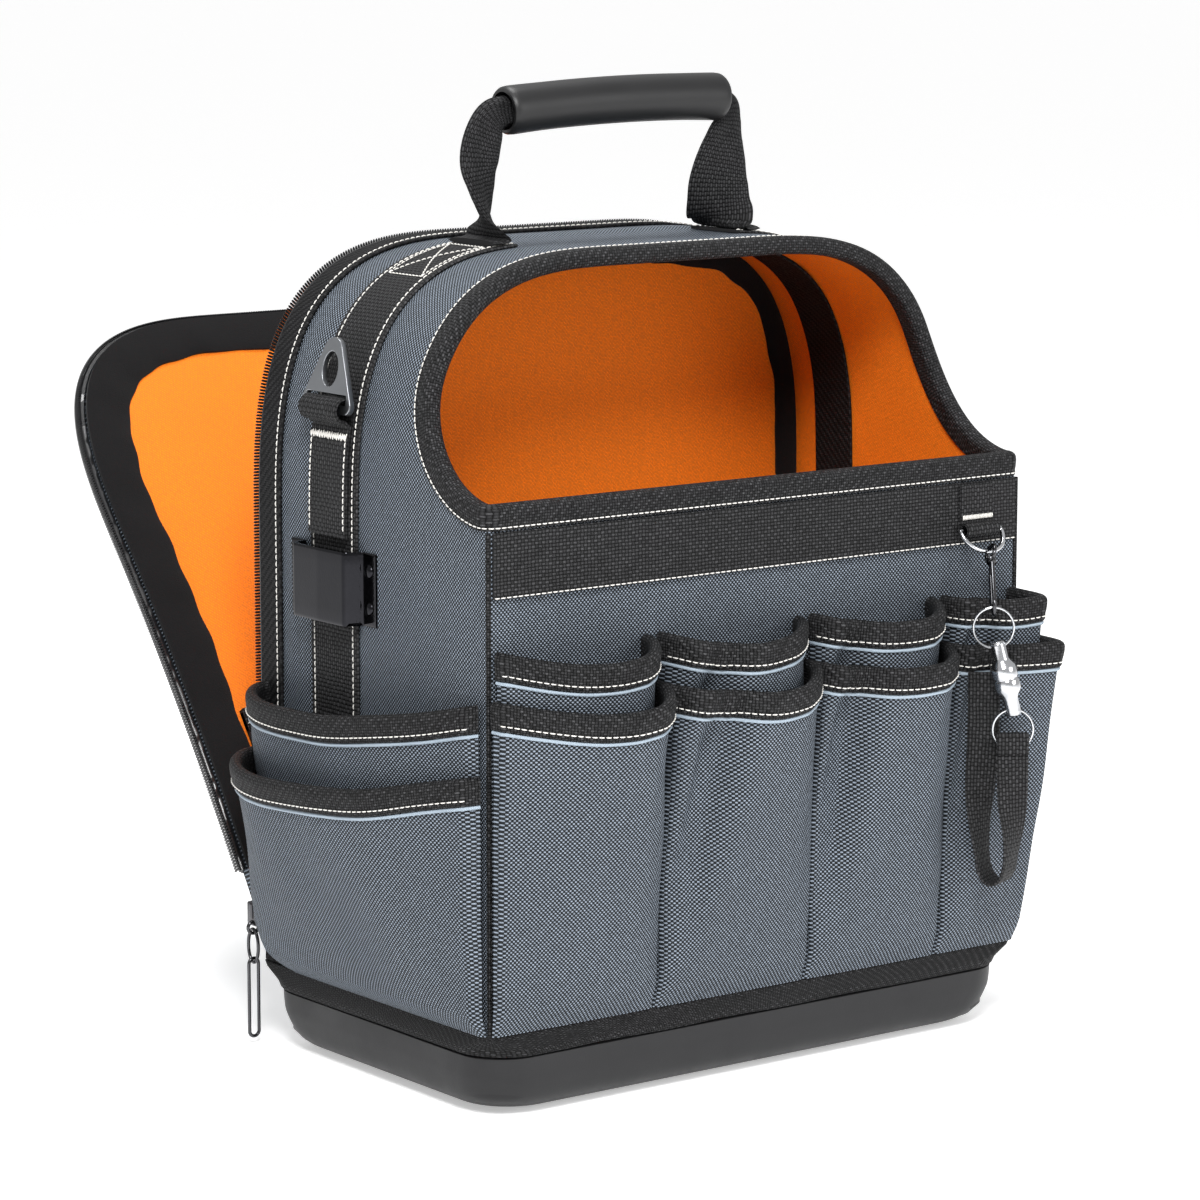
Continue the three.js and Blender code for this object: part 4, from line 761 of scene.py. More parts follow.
def make_side_straps(crown_s):
    for name in ("left", "right"):
        low, high = 66.0, crown_s + 4
        if name == "right":
            low, high = ARCH.length - high, ARCH.length - low
        form = Form()
        arch_strap(form, low, high, STRAP_Y, 2 * STRAP_HALF, BAND_THICK, BAND_STAND)
        dress(form, f"side_strap_{name}_webbing", [WEBBING], [f"side_strap_{name}"])
        for side in (-1, 1):
            arch_sew(low, high, STRAP_Y + side * 16.5, STRAP_TOP + 0.1)
        near, far = (crown_s - 50, crown_s - 12)
        if name == "right":
            near, far = ARCH.length - near, ARCH.length - far
        corners = [(near, -14), (far, -14), (far, 14), (near, 14)]
        order = [(0, 1), (1, 2), (2, 3), (3, 0), (0, 2), (1, 3)]
        for a, b in order:
            s = np.linspace(corners[a][0], corners[b][0], 12)
            y = STRAP_Y + np.linspace(corners[a][1], corners[b][1], 12)
            sew(ARCH.point(s, STRAP_TOP + 0.15, y), ARCH.out_at(s), pitch=2.7, half=1.1)


def make_gusset_trim():
    form = Form()
    arch_strap(form, INSIDE_FOOT, ARCH.length - INSIDE_FOOT, 38.0, 29.0, BAND_THICK,
               -WALL - BAND_STAND)
    dress(form, "gusset_seam_tape", [TAPE], ["gusset_tape"])
    form = Form()
    arch_strap(form, 43.8, ARCH.length - 43.8, 84.3, 18.0, BAND_THICK, BAND_STAND, columns=7)
    dress(form, "body_zip_tape_cloth", [TAPE], ["body_zip_tape"])
    arch_sew(48, ARCH.length - 48, 78.4, 1.95)


def make_body_coil():
    form = Form()
    s = np.arange(72.0, ARCH.length - 72.0, 3.0)
    form.tube(ARCH.point(s, -2.6, 96.6), 1.7, 8)
    form.tube(ARCH.point(s, 0.9, 94.0), 0.7, 6)
    q = np.arange(72.5, ARCH.length - 72.5, TOOTH_PITCH)
    out = ARCH.out_at(q)
    form.pills(ARCH.point(q, -0.5, 97.3), out + [0, 0.25, 0], np.tile([0, 1.0, 0], (len(q), 1)),
               TOOTH_HALF, TOOTH_RADIUS, bend=0.9)
    dress(form, "body_zip_teeth", [COIL], ["body_zip_coil"])


def make_corner_seams():
    form = Form()
    for side in (-1, 1):
        z = np.linspace(FOOT - 0.5, EDGE - 11, 60)
        line = np.stack([np.full(60, side * (HALF - 0.3)), np.full(60, FRONT + 0.3), z], 1)
        form.tube(line, 1.25, 8)
    dress(form, "corner_seam_cords", [BINDING])


def make_divider():
    s = np.linspace(61, ARCH.s_at_x(-43.0), 90)
    edge = ARCH.point(s, -5.3, DIVIDER_Y)
    low = np.array([[-145.0, DIVIDER_Y, 10.2], [-145.0, DIVIDER_Y, 30.0],
                    [-157.7, DIVIDER_Y, 44.0]])
    edge = np.concatenate([low, edge])
    share = np.linspace(-1, 1, 41)
    outer = np.zeros((len(edge), 41, 3))
    outer[..., 0] = -edge[:, :1] * share
    outer[..., 2] = edge[:, 2:3]
    uv = np.stack([outer[..., 0], outer[..., 2]], -1)
    sway = smooth(1 - np.abs(share), 0, 0.25)[None] * waves(uv[..., 0], uv[..., 1], 21, 130)
    outer[..., 1] = DIVIDER_Y + 0.9 * sway
    inner = outer.copy()
    inner[..., 1] += 4.0
    form = Form()
    form.shell(outer, inner, uv, (0, 0, 0))
    piece = dress(form, "divider_pad", [ORANGE], ["divider_panel"])


def soft_border(place, stations, width, rise, seed, ragged=0.08, columns=9):
    """Puffed edge binding: place(station, inwards, lift) gives its points."""
    share = np.linspace(0, 1, columns)
    reach = width * (1 + ragged * waves(stations, 0 * stations, seed, 70)
                     + 0.4 * ragged * waves(stations, 0 * stations, seed + 1, 24))
    top = []
    bottom = []
    for f in share:
        puff = rise * math.sin(math.pi * min(1, f * 0.9 + 0.1)) ** 0.6
        fold = 0.25 * rise * waves(stations, f * width + 0 * stations, seed + 2, 30)
        top.append(place(stations, reach * f, 1.0 + puff + fold * (0.3 + 0.7 * f)))
        bottom.append(place(stations, reach * f, 0 * stations))
    outer, inner = np.stack(top, 1), np.stack(bottom, 1)
    uv = pair(stations[:, None], share[None] * width)
    form = Form()
    form.shell(outer, inner, uv)
    return form


def make_divider_binding():
    s = np.linspace(INSIDE_FOOT, ARCH.length - INSIDE_FOOT, 330)

    def place(stations, inwards, lift):
        return ARCH.point(stations, -5.4 - inwards, 71.3 - lift)

    form = soft_border(place, s, 13.0, 1.4, 31, ragged=0.12)
    dress(form, "divider_binding_cloth", [FUZZ], ["divider_binding"])


# Flap
FLAP_LONG = 360.0
HINGE = 53.0
ZIP_START = 36.0
FLAP_TOP = 6.3
FLAP_STATIONS = 420


def flap_point(x, h, lift):
    x, h, lift = np.broadcast_arrays(*(np.asarray(a, float) for a in (x, h, lift)))

    def at(k):
        lean = np.radians(31 + 7.5 * k / FLAP_LONG)
        return BACK + k * np.sin(lean), HINGE + k * np.cos(lean)

    y, z = at(h)
    y2, z2 = at(h + 1)
    size = np.hypot(y2 - y, z2 - z)
    bent = np.stack([x, y - lift * (z2 - z) / size, z + lift * (y2 - y) / size], -1)
    flat = np.stack([x, BACK - lift, HINGE + h], -1)
    mix = smooth(h, -2, 8)[..., None]
    return flat + (bent - flat) * mix


def flap_half(h):
    narrow = 157.4 + 5.6 * smooth(h, 9, 18)
    return narrow - inset_at(HINGE + h * 347 / FLAP_LONG)


def flap_outline():
    """Edge of the flap in its flat width and height, from low left round to low right."""
    s = np.linspace(0, 1, 500)
    h = FLAP_LONG * (1 - (1 - s) ** 2.2)
    left = np.stack([-flap_half(h), h], 1)
    line = np.concatenate([left, left[::-1] * [-1, 1]])
    apart = np.linalg.norm(np.diff(line, axis=0), axis=1) > 1e-6
    line = spaced(line[np.concatenate([[True], apart])], 1.5)
    way = unit(np.gradient(line, axis=0))
    out = np.stack([-way[:, 1], way[:, 0]], 1)
    return line, unit(blurred(out, 9)), lengths(line)


def trimmed_outline():
    line, out, s = flap_outline()
    run = (s > ZIP_START) & (s < s[-1] - ZIP_START)
    return line[run], out[run], s[run]


FLAP_LINE, FLAP_OUT, FLAP_S = trimmed_outline()


def flap_edge(stations, inwards, lift):
    """Points by distance along the flap's zip, reach inwards from it and lift off the back."""
    x, h = (np.interp(stations, FLAP_S, FLAP_LINE[:, k]) for k in (0, 1))
    way_x, way_h = (np.interp(stations, FLAP_S, FLAP_OUT[:, k]) for k in (0, 1))
    return flap_point(x - way_x * inwards, h - way_h * inwards, lift)


def make_flap():
    h = np.concatenate([[-9, -4, 0, 5, 10, 15, 20], np.linspace(26, 250, 40)])
    top = 250 + (FLAP_LONG - 250) * (1 - (1 - np.linspace(0, 1, 50)[1:]) ** 2)
    h = np.concatenate([h, top])
    share = np.linspace(-1, 1, 49)
    x = flap_half(h)[:, None] * share
    hh = np.broadcast_to(h[:, None], x.shape)
    uv = np.stack([x, hh], -1)
    mask = (smooth(1 - np.abs(share), 0.02, 0.3)[None] * smooth(hh, 10, 60)
            * smooth(FLAP_LONG - hh, 5, 60))
    sway = mask * waves(x, hh, 41, 120)
    back = flap_point(x, hh, -0.2 - 0.9 * mask - 0.5 * sway)
    inside = flap_point(x, hh, 6.0 + 0.5 * mask + 1.2 * sway)
    form = Form()
    form.shell(back, inside, uv, (0, 1, 0))
    piece = dress(form, "flap_pad", [SLATE, ORANGE], ["flap_panel"])


def make_flap_binding():
    stations = np.linspace(FLAP_S[0], FLAP_S[-1], FLAP_STATIONS)

    def place(run, inwards, lift):
        return flap_edge(run, inwards - 0.8, FLAP_TOP + lift)

    form = soft_border(place, stations, 24.5, 1.5, 51, ragged=0.07, columns=13)
    dress(form, "flap_binding_cloth", [FUZZ], ["flap_binding"])


def make_flap_zip():
    stations = np.linspace(FLAP_S[0], FLAP_S[-1], FLAP_STATIONS)
    form = Form()
    form.tube(flap_edge(stations, -2.0, 3.0 + 0 * stations), 2.0, 8)
    q = np.arange(FLAP_S[0] + 1, FLAP_S[-1] - 1, TOOTH_PITCH)
    centre = flap_edge(q, -4.1, 2.4 + 0 * q)
    up = unit(flap_edge(q, -5.1, 2.4 + 0 * q) - centre)
    axis = unit(flap_edge(q, -4.1, 3.4 + 0 * q) - centre)
    form.pills(centre, axis, up, TOOTH_HALF, TOOTH_RADIUS, bend=0.9)
    dress(form, "flap_zip_teeth", [COIL], ["flap_zip_coil"])
    form = Form()
    share = np.linspace(0, 1, 5)
    bow = -0.3 - 1.2 * (1 - (2 * share - 1) ** 4)
    outer = np.stack([flap_edge(stations, -1.2 + 9.0 * f, lift + 0 * stations)
                      for f, lift in zip(share, bow)], 1)
    under = np.stack([flap_edge(stations, -1.2 + 9.0 * f, 0.6 + 0 * stations) for f in share], 1)
    form.shell(outer, under, pair(stations[:, None], share * 10))
    dress(form, "flap_zip_tape", [TAPE])


# Name, mouth above the hinge, bulge
FLAP_POCKETS = (("flap_pocket_upper", 118.0, 9.0), ("flap_pocket_lower", 92.0, 16.0))


def make_flap_pockets():
    plan = np.array([(-1, 0), (-0.88, 0.75), (-0.5, 1), (0.5, 1), (0.88, 0.75), (1, 0)])
    share = np.linspace(-1, 1, 61)
    out = np.interp(share, plan[:, 0], plan[:, 1])
    out = blurred(out[:, None], 7)[:, 0]
    out[[0, -1]] = 0
    for layer, (name, mouth, depth) in enumerate(FLAP_POCKETS):
        half = 143 - (1 - layer) * 5.6
        base = FLAP_TOP + layer * 2.8
        rise = np.linspace(0, 1, 16)
        rr, oo = np.meshgrid(rise, out, indexing="ij")
        xx = np.broadcast_to(half * share, rr.shape)
        drop = 2.0 * np.sin(np.pi * (share + 1) * 1.5 + layer)
        hh = 36 + (mouth + drop[None] - 36) * rr
        lift = base + oo * rr * depth + 0.8 * waves(xx, hh, 61 + layer, 60) * rr * oo
        form = Form()
        form.shell(flap_point(xx, hh, lift + 2.4), flap_point(xx, hh, lift),
                   np.stack([xx, hh], -1))
        band = np.linspace(0, 1, 5)
        edge_h = hh[-1]
        rim_lift = lift[-1] + 2.4
        outer, under = (
            np.stack([flap_point(xx[-1], edge_h + 1.5 - 12 * f, rim_lift + up - 2.2 * f * depth / 60)
                      for f in band], 1) for up in (0.8, -2.6))
        form.shell(outer, under, pair(xx[-1][:, None], band * 12), (1, 1, 1))
        line = flap_point(xx[-1], edge_h - 7.0, rim_lift + 0.75)
        sew(line, flap_point(xx[-1], edge_h - 7.0, rim_lift + 1.75) - line)
        dress(form, f"{name}_cloth", [TAPE, BINDING], [name])


# Pockets
class Pocket:
    """Bulging pocket cloth on a wall: its middle surface by shares along and up."""

    def __init__(self, start, along, out, width, foot, mouth, tail, sag, depth, base, level,
                 plan, corner=0.0, fold=(), seed=1):
        self.start, self.along, self.out = (np.asarray(a, float) for a in (start, along, out))
        self.width, self.foot, self.mouth, self.tail, self.sag = width, foot, mouth, tail, sag
        self.depth, self.base, self.level, self.corner = depth, base, level, corner
        self.fold, self.seed = fold, seed
        fine = np.linspace(0, 1, 401)
        plan = np.asarray(plan, float)
        shape = np.interp(fine, plan[:, 0], plan[:, 1])
        kernel = np.exp(-0.5 * (np.arange(-24, 25) / 8) ** 2)
        kernel /= kernel.sum()
        odd = np.concatenate([-shape[24:0:-1], shape, -shape[-2:-26:-1]])
        self.fine, self.shape = fine, np.convolve(odd, kernel, "valid")

    def top(self, a):
        return (self.mouth - self.tail * a - self.sag * np.sin(np.pi * a)
                + 0.8 * waves(a * self.width, 0 * a, self.seed, 60))

    def at(self, a, r):
        a, r = np.broadcast_arrays(np.asarray(a, float), np.asarray(r, float))
        z = self.foot + (self.top(a) - self.foot) * r
        width = self.width
        if self.corner:
            low = np.clip(1 - (z - self.foot) / self.corner, 0, 1)
            width = width - self.corner * (1 - np.sqrt(1 - low**2))
        rise = np.clip(r, 0, 2) ** 0.82
        bulge = np.interp(a, self.fine, self.shape)
        for middle, lean, reach, deep in self.fold:
            line = middle + lean * r
            share = smooth(r, 0.03, 0.5) * (1 - 0.45 * smooth(r, 0.82, 1))
            left = 1 - smooth(a, line - reach, line)
            bulge = bulge * (1 - 0.45 * left * share)
            bulge = bulge - deep * share * np.exp(-((a - line) / reach) ** 2)
        edge = smooth(a, -0.012, 0.022) * smooth(1 - a, -0.012, 0.022)
        tuck = 0.25 + 0.75 * smooth(r, -0.02, 0.09)
        stand = (self.base + 2.5) * (0.25 + 0.75 * edge) * tuck + 2.2 * rise * self.level * edge
        out = stand + self.depth * np.clip(bulge, 0, 2) * rise
        out = out + 0.9 * edge * smooth(r, 0, 0.3) * waves(a * width, z, self.seed + 3, 55)
        place = self.start + self.along * (a * width)[..., None] + self.out * out[..., None]
        place[..., 2] = z
        return place

    def normal(self, a, r):
        step = 0.004
        da = self.at(np.clip(a + step, 0, 1), r) - self.at(np.clip(a - step, 0, 1), r)
        dr = self.at(a, r + step) - self.at(a, r - step)
        n = unit(np.cross(da, dr))
        flip = np.sign(n @ self.out)
        return n * np.where(flip == 0, 1, flip)[..., None]

    def height(self, a):
        return self.top(a) - self.foot


def make_pocket(name, pocket):
    a = np.concatenate([[0, 0.006, 0.014], np.linspace(0.024, 0.976, 54), [0.986, 0.994, 1]])
    r = np.concatenate([[0, 0.015, 0.03, 0.05, 0.08], np.linspace(0.12, 1, 34)])
    aa, rr = np.meshgrid(a, r, indexing="ij")
    mid, n = pocket.at(aa, rr), pocket.normal(aa, rr)
    thick = 0.9
    uv = np.stack([aa * pocket.width, mid[..., 2]], -1)
    form = Form()
    form.shell(mid + n * thick, mid - n * thick, uv, (0, 1, 0))
    cloth = dress(form, f"{name}_cloth", [SLATE, TAPE], [name])
    steps_a = np.linalg.norm(np.diff(mid, axis=0), axis=-1)
    steps_r = np.linalg.norm(np.diff(mid, axis=1), axis=-1)

    section = fold_section(1.75, 3.2, 11.0, 1.9)
    height = pocket.height(a)
    sections = []
    for k, share in enumerate(a):
        rise = 1 - section[:, 1] / height[k]
        along = np.full(len(section), share)
        sections.append(pocket.at(along, rise) + pocket.normal(along, rise) * section[:, :1])
    line = pocket.at(a, 1 - 5.0 / height)
    form = Form()
    form.loft(np.array(sections), u=lengths(line))
    dress(form, f"{name}_binding_cloth", [BINDING], [f"{name}_binding"])
    rise = 1 - 8.3 / height
    n = pocket.normal(a, rise)
    inner = slice(2, -2)
    sew((pocket.at(a, rise) + n * 2.95)[inner], n[inner])
    rise = 1 - 12.3 / height
    n = pocket.normal(a, rise)
    return pocket.at(a, rise) + n * 1.35


CORNER_PLAN = [(0, 0), (0.15, 0.3), (0.4, 0.72), (0.62, 0.96), (0.76, 1), (0.86, 0.78),
               (0.94, 0.42), (1, 0)]
CREASED_PLAN = [(0, 0), (0.03, 0.55), (0.08, 0.92), (0.25, 1), (0.55, 1), (0.72, 0.92),
                (0.84, 0.66), (0.93, 0.34), (1, 0)]
SHALLOW_PLAN = [(0, 0), (0.03, 0.36), (0.08, 0.6), (0.3, 0.76), (0.55, 0.92), (0.72, 0.94),
                (0.86, 0.68), (0.94, 0.36), (1, 0)]
END_PLAN = [(0, 0), (0.04, 0.4), (0.1, 0.6), (0.4, 0.76), (0.8, 0.95), (0.93, 1),
            (0.985, 0.85), (1, 0)]
SIDE_PLAN = [(0, 0), (0.12, 0.34), (0.3, 0.72), (0.5, 0.94), (0.7, 1), (0.8, 0.92),
             (0.88, 0.73), (0.95, 0.42), (1, 0)]
# Name, start and end as shares of the front, plan, sag, folds
FRONT_POCKETS = [
    ("front_pocket_1", 0.0, 0.29, CORNER_PLAN, 7, ()),
    ("front_pocket_2", 0.29, 0.575, CREASED_PLAN, 6, ((0.02, 0.29, 0.1, 0.72),)),
    ("front_pocket_3", 0.575, 0.835, SHALLOW_PLAN, 5, ((0.02, 0.22, 0.095, 0.68),)),
    ("front_pocket_4", 0.835, 1.0, END_PLAN, 1, ((0.03, 0.27, 0.12, 0.52),)),
]


# Layer, inset at each end, bulge, place from the wall outwards
LAYERS = (("inner", 3.4, 24, 1), ("outer", 0, 29, 2))
FRONT_MOUTH = {"inner": 223, "outer": 201}
FRONT_STAND = {"inner": 0.3, "outer": 3.1}
SIDE_MOUTH = {"inner": 198, "outer": 165}
SIDE_STAND = {"inner": 2.1, "outer": 4.9}
SIDE_FRONT = -95.2
SIDE_WIDE = 187.4
SIDE_CORNER = 26.0
POCKET_FOOT = 43.0
POCKET_GAP = 0.7
PIPING_RADIUS = 0.95


def make_pockets():
    piping = Form()
    seed = 70
    for name, low, high, plan, sag, fold in FRONT_POCKETS:
        start = -HALF + 2 * HALF * low + POCKET_GAP
        width = 2 * HALF * (high - low) - 2 * POCKET_GAP
        for layer, inset, depth, level in LAYERS:
            seed += 5
            pocket = Pocket((start + inset, FRONT, 0), (1, 0, 0), (0, -1, 0), width - 2 * inset,
                            POCKET_FOOT, FRONT_MOUTH[layer], 0, sag, depth, FRONT_STAND[layer],
                            level, plan, fold=fold, seed=seed)
            piping.tube(make_pocket(f"{name}_{layer}", pocket), PIPING_RADIUS, 8)
    for name, side in SIDES:
        for layer, inset, depth, level in LAYERS:
            seed += 5
            pocket = Pocket((side * HALF, SIDE_FRONT + inset, 0), (0, 1, 0), (side, 0, 0),
                            SIDE_WIDE - 2 * inset, POCKET_FOOT, SIDE_MOUTH[layer], 14, 8, depth,
                            SIDE_STAND[layer], level, SIDE_PLAN, corner=SIDE_CORNER, seed=seed)
            piping.tube(make_pocket(f"side_pocket_{name}_{layer}", pocket), PIPING_RADIUS, 8)
    dress(piping, "pocket_piping", [PIPING])


# Rings and loops
def arch_frame(side, height, offset):
    s = ARCH.s_at(height)
    place, out = ARCH.point(s, offset, STRAP_Y), ARCH.out_at(s)
    if side > 0:
        place, out = place * [-1, 1, 1], out * [-1, 1, 1]
    depth = np.array([0.0, side, 0.0])
    up = np.cross(out, depth)
    return place, out, depth, up


def loop_point(side, out, up, across):
    """Place on a ring loop, which follows the body below its ring and is straight above."""
    s = ARCH.s_at(RING_HEIGHT)
    out, up, across = np.broadcast_arrays(*(np.asarray(a, float) for a in (out, up, across)))
    way = unit(ARCH.point(s + 1, 0, 0) - ARCH.point(s - 1, 0, 0))
    place = ARCH.point(s + np.minimum(up, 0), RING_STAND + out, STRAP_Y + across)
    place = place + way * np.maximum(up, 0)[..., None]
    return place * [-side, 1, 1]


def make_ring_loops():
    tack = Form()
    for name, side in SIDES:
        radius = 5.3
        turn = np.radians(np.linspace(180, -105, 30))
        roll = np.stack([radius * np.cos(turn), radius * np.sin(turn)], 1)
        down = np.linspace(-60, -6, 16)[:, None]
        slack = 0.15 * np.sin(down * 0.2)
        inner = np.hstack([-5.75 + 0 * down, down])
        outer = np.hstack([-4.0 + slack, down])[::-1]
        path = np.concatenate([inner, [[-5.6, -3.0]], roll, [[-3.3, -7.2]], outer])
        path = spaced(catmull(path, 160), 1.4)
        section = strap_section(32.4, BAND_THICK, 7)
        flat = ribbon(path, section)
        sections = loop_point(side, flat[..., 0], flat[..., 1], section[None, :, 0])
        form = Form()
        form.loft(sections, u=lengths(path), v=strap_v(section))
        dress(form, f"ring_loop_{name}_webbing", [WEBBING], [f"ring_loop_{name}"])
        across = np.linspace(-14.8, 14.8, 34)
        jitter = 0.5 * np.cos(np.arange(34) * 2.4)
        centre = loop_point(side, -2.95, -12.2 + jitter, across)
        rise = unit(loop_point(side, -2.95, -11.2 + jitter, across) - centre)
        out = unit(loop_point(side, -1.95, -12.2 + jitter, across) - centre)
        lean = rise + Y * (0.28 * np.where(np.arange(34) % 2, 1, -1))[:, None]
        tack.pills(centre, lean, out, 1.5, 0.4, bend=0.2)
        for edge in (-14.4, 14.4):
            up = np.linspace(-57, -14, 20)
            line = loop_point(side, -3.05, up, edge)
            sew(line, loop_point(side, -2.05, up, edge) - line)
    dress(tack, "ring_loop_bartacks", [THREAD])


def plate_mesh(name, outline, holes, thickness, bevel, material):
    """Flat plate with holes and rounded edges, standing in Y and Z about X."""
    curve = bpy.data.curves.new(name + "_outline", "CURVE")
    curve.dimensions, curve.fill_mode = "2D", "BOTH"
    curve.extrude, curve.bevel_depth = (thickness / 2 - bevel) * MM, bevel * MM
    curve.bevel_resolution, curve.offset = 2, -bevel * MM
    for points in [outline, *holes]:
        spline = curve.splines.new("POLY")
        spline.points.add(len(points) - 1)
        for knot, (a, b) in zip(spline.points, points):
            knot.co = (a * MM, b * MM, 0, 1)
        spline.use_cyclic_u = True
    holder = bpy.data.objects.new(name + "_curve", curve)
    bpy.context.scene.collection.objects.link(holder)
    mesh = bpy.data.meshes.new_from_object(holder.evaluated_get(
        bpy.context.evaluated_depsgraph_get()))
    bpy.data.objects.remove(holder)
    mesh.name = name
    mesh.materials.clear()
    mesh.materials.append(material)
    mesh.transform(Matrix(((0, 0, 1, 0), (1, 0, 0, 0), (0, 1, 0, 0), (0, 0, 0, 1))))
    mesh.polygons.foreach_set("use_smooth", np.ones(len(mesh.polygons), bool))
    mesh.set_sharp_from_angle(angle=math.radians(35))
    piece = bpy.data.objects.new(name, mesh)
    bpy.context.scene.collection.objects.link(piece)
    return piece


def arc(centre, radius, low, high, count, squeeze=1.0):
    turn = np.radians(np.linspace(low, high, count))
    return [(centre[0] + radius * math.cos(t), centre[1] + radius * squeeze * math.sin(t))
            for t in turn]


def make_rings():
    bar = 2.2
    corner, apex = (17.0, 4 - bar), (0.0, 26.0)
    slope = math.atan2(apex[1] - corner[1], apex[0] - corner[0])
    lean = math.acos((4 - 8) / math.hypot(apex[0] - corner[0], apex[1] - corner[1]))
    tangent = math.degrees(slope - lean)
    outline = (arc(corner, 4, -90, tangent, 12) + arc(apex, 8, tangent, 180 - tangent, 26)
               + arc((-corner[0], corner[1]), 4, 180 - tangent, 270, 12))
    slot = (arc((15.8, 3.2), 1.0, -90, 0, 4) + arc((15.8, 6.05), 1.0, 0, 90, 4)
            + arc((-15.8, 6.05), 1.0, 90, 180, 4) + arc((-15.8, 3.2), 1.0, 180, 270, 4))
    eye = arc((0, 18.65), 6.5, 0, 350, 36, 17 / 13)
    for name, side in SIDES:
        piece = plate_mesh(f"strap_ring_{name}_plate", outline, [slot, eye], 3.0, 0.45, PEWTER)
        place, out, depth, up = arch_frame(side, RING_HEIGHT, RING_STAND)
        turn = Matrix(np.stack([out, depth, up], 1).tolist()).to_4x4()
        piece.data.transform(Matrix.Translation(Vector(place * MM)) @ turn)
        keep(piece, "pewter", [f"strap_ring_{name}"], f"{name}_ring")


# Tape clip
def make_clip():
    form = Form()
    half = 36.0
    rough = [(-half, 0), (-24.8, 0), (-22.0, 9.0), (0, 9.4), (22.0, 9.0), (24.8, 0), (half, 0)]
    line = spaced(np.array(rough, float), 0.3)
    line = spaced(blurred(line, 9, "reflect", reflect_type="odd"), 0.6)
    way = unit(np.gradient(line, axis=0))
    out = np.stack([-way[:, 1], way[:, 0]], 1)
    z = 224 + 36 * np.array([0, 0.006, 0.02, 0.05, 0.2, 0.4, 0.6, 0.8, 0.95, 0.98, 0.994, 1])
    thin = np.array([0.25, 0.6, 0.9, 1, 1, 1, 1, 1, 1, 0.9, 0.6, 0.25])
    z[0] += 0.2
    z[-1] -= 0.2
    sides = []
    for sign in (1, -1):
        flat = line[:, None] + out[:, None] * (sign * 0.8 * thin)[None, :, None]
        sides.append(np.stack([-(HALF + 1.1 + flat[..., 1]), STRAP_Y + flat[..., 0],
                               np.broadcast_to(z, flat.shape[:2])], -1))
    form.shell(sides[0], sides[1], np.zeros((len(line), len(z), 2)))
    for end in (-1, 1):
        for share in (0.25, 0.75):
            centre = np.array([-(HALF + 1.9), STRAP_Y + end * 30.5, 260 - share * 36])
            rings = []
            for reach, lift in ((3.5, 0), (3.45, 0.35), (3.0, 0.9), (2.0, 1.35), (0.7, 1.5)):
                turn = around(20)
                rings.append(centre + np.stack([np.full(20, -lift), reach * np.cos(turn),
                                                reach * np.sin(turn)], 1))
            form.loft(np.array(rings))
    dress(form, "tape_clip_plate", [BLACK_CHROME], ["tape_clip"], sharp=50)


# Handle
def band_frames(middle, turn):
    along = unit(np.gradient(middle, axis=0))
    depth = np.array([0.0, 1.0, 0.0])
    across = (depth * np.cos(turn)[:, None]
              + np.cross(np.broadcast_to(depth, along.shape), along) * np.sin(turn)[:, None])
    across = unit(across - along * (across * along).sum(1, keepdims=True))
    return across, np.cross(across, along)


def grip_line(share):
    share = np.asarray(share, float)
    return np.stack([4 + (share - 0.5) * 134, STRAP_Y + 0 * share,
                     466 + 3 * (share - 0.5) + 8 * share * (1 - share)], -1)


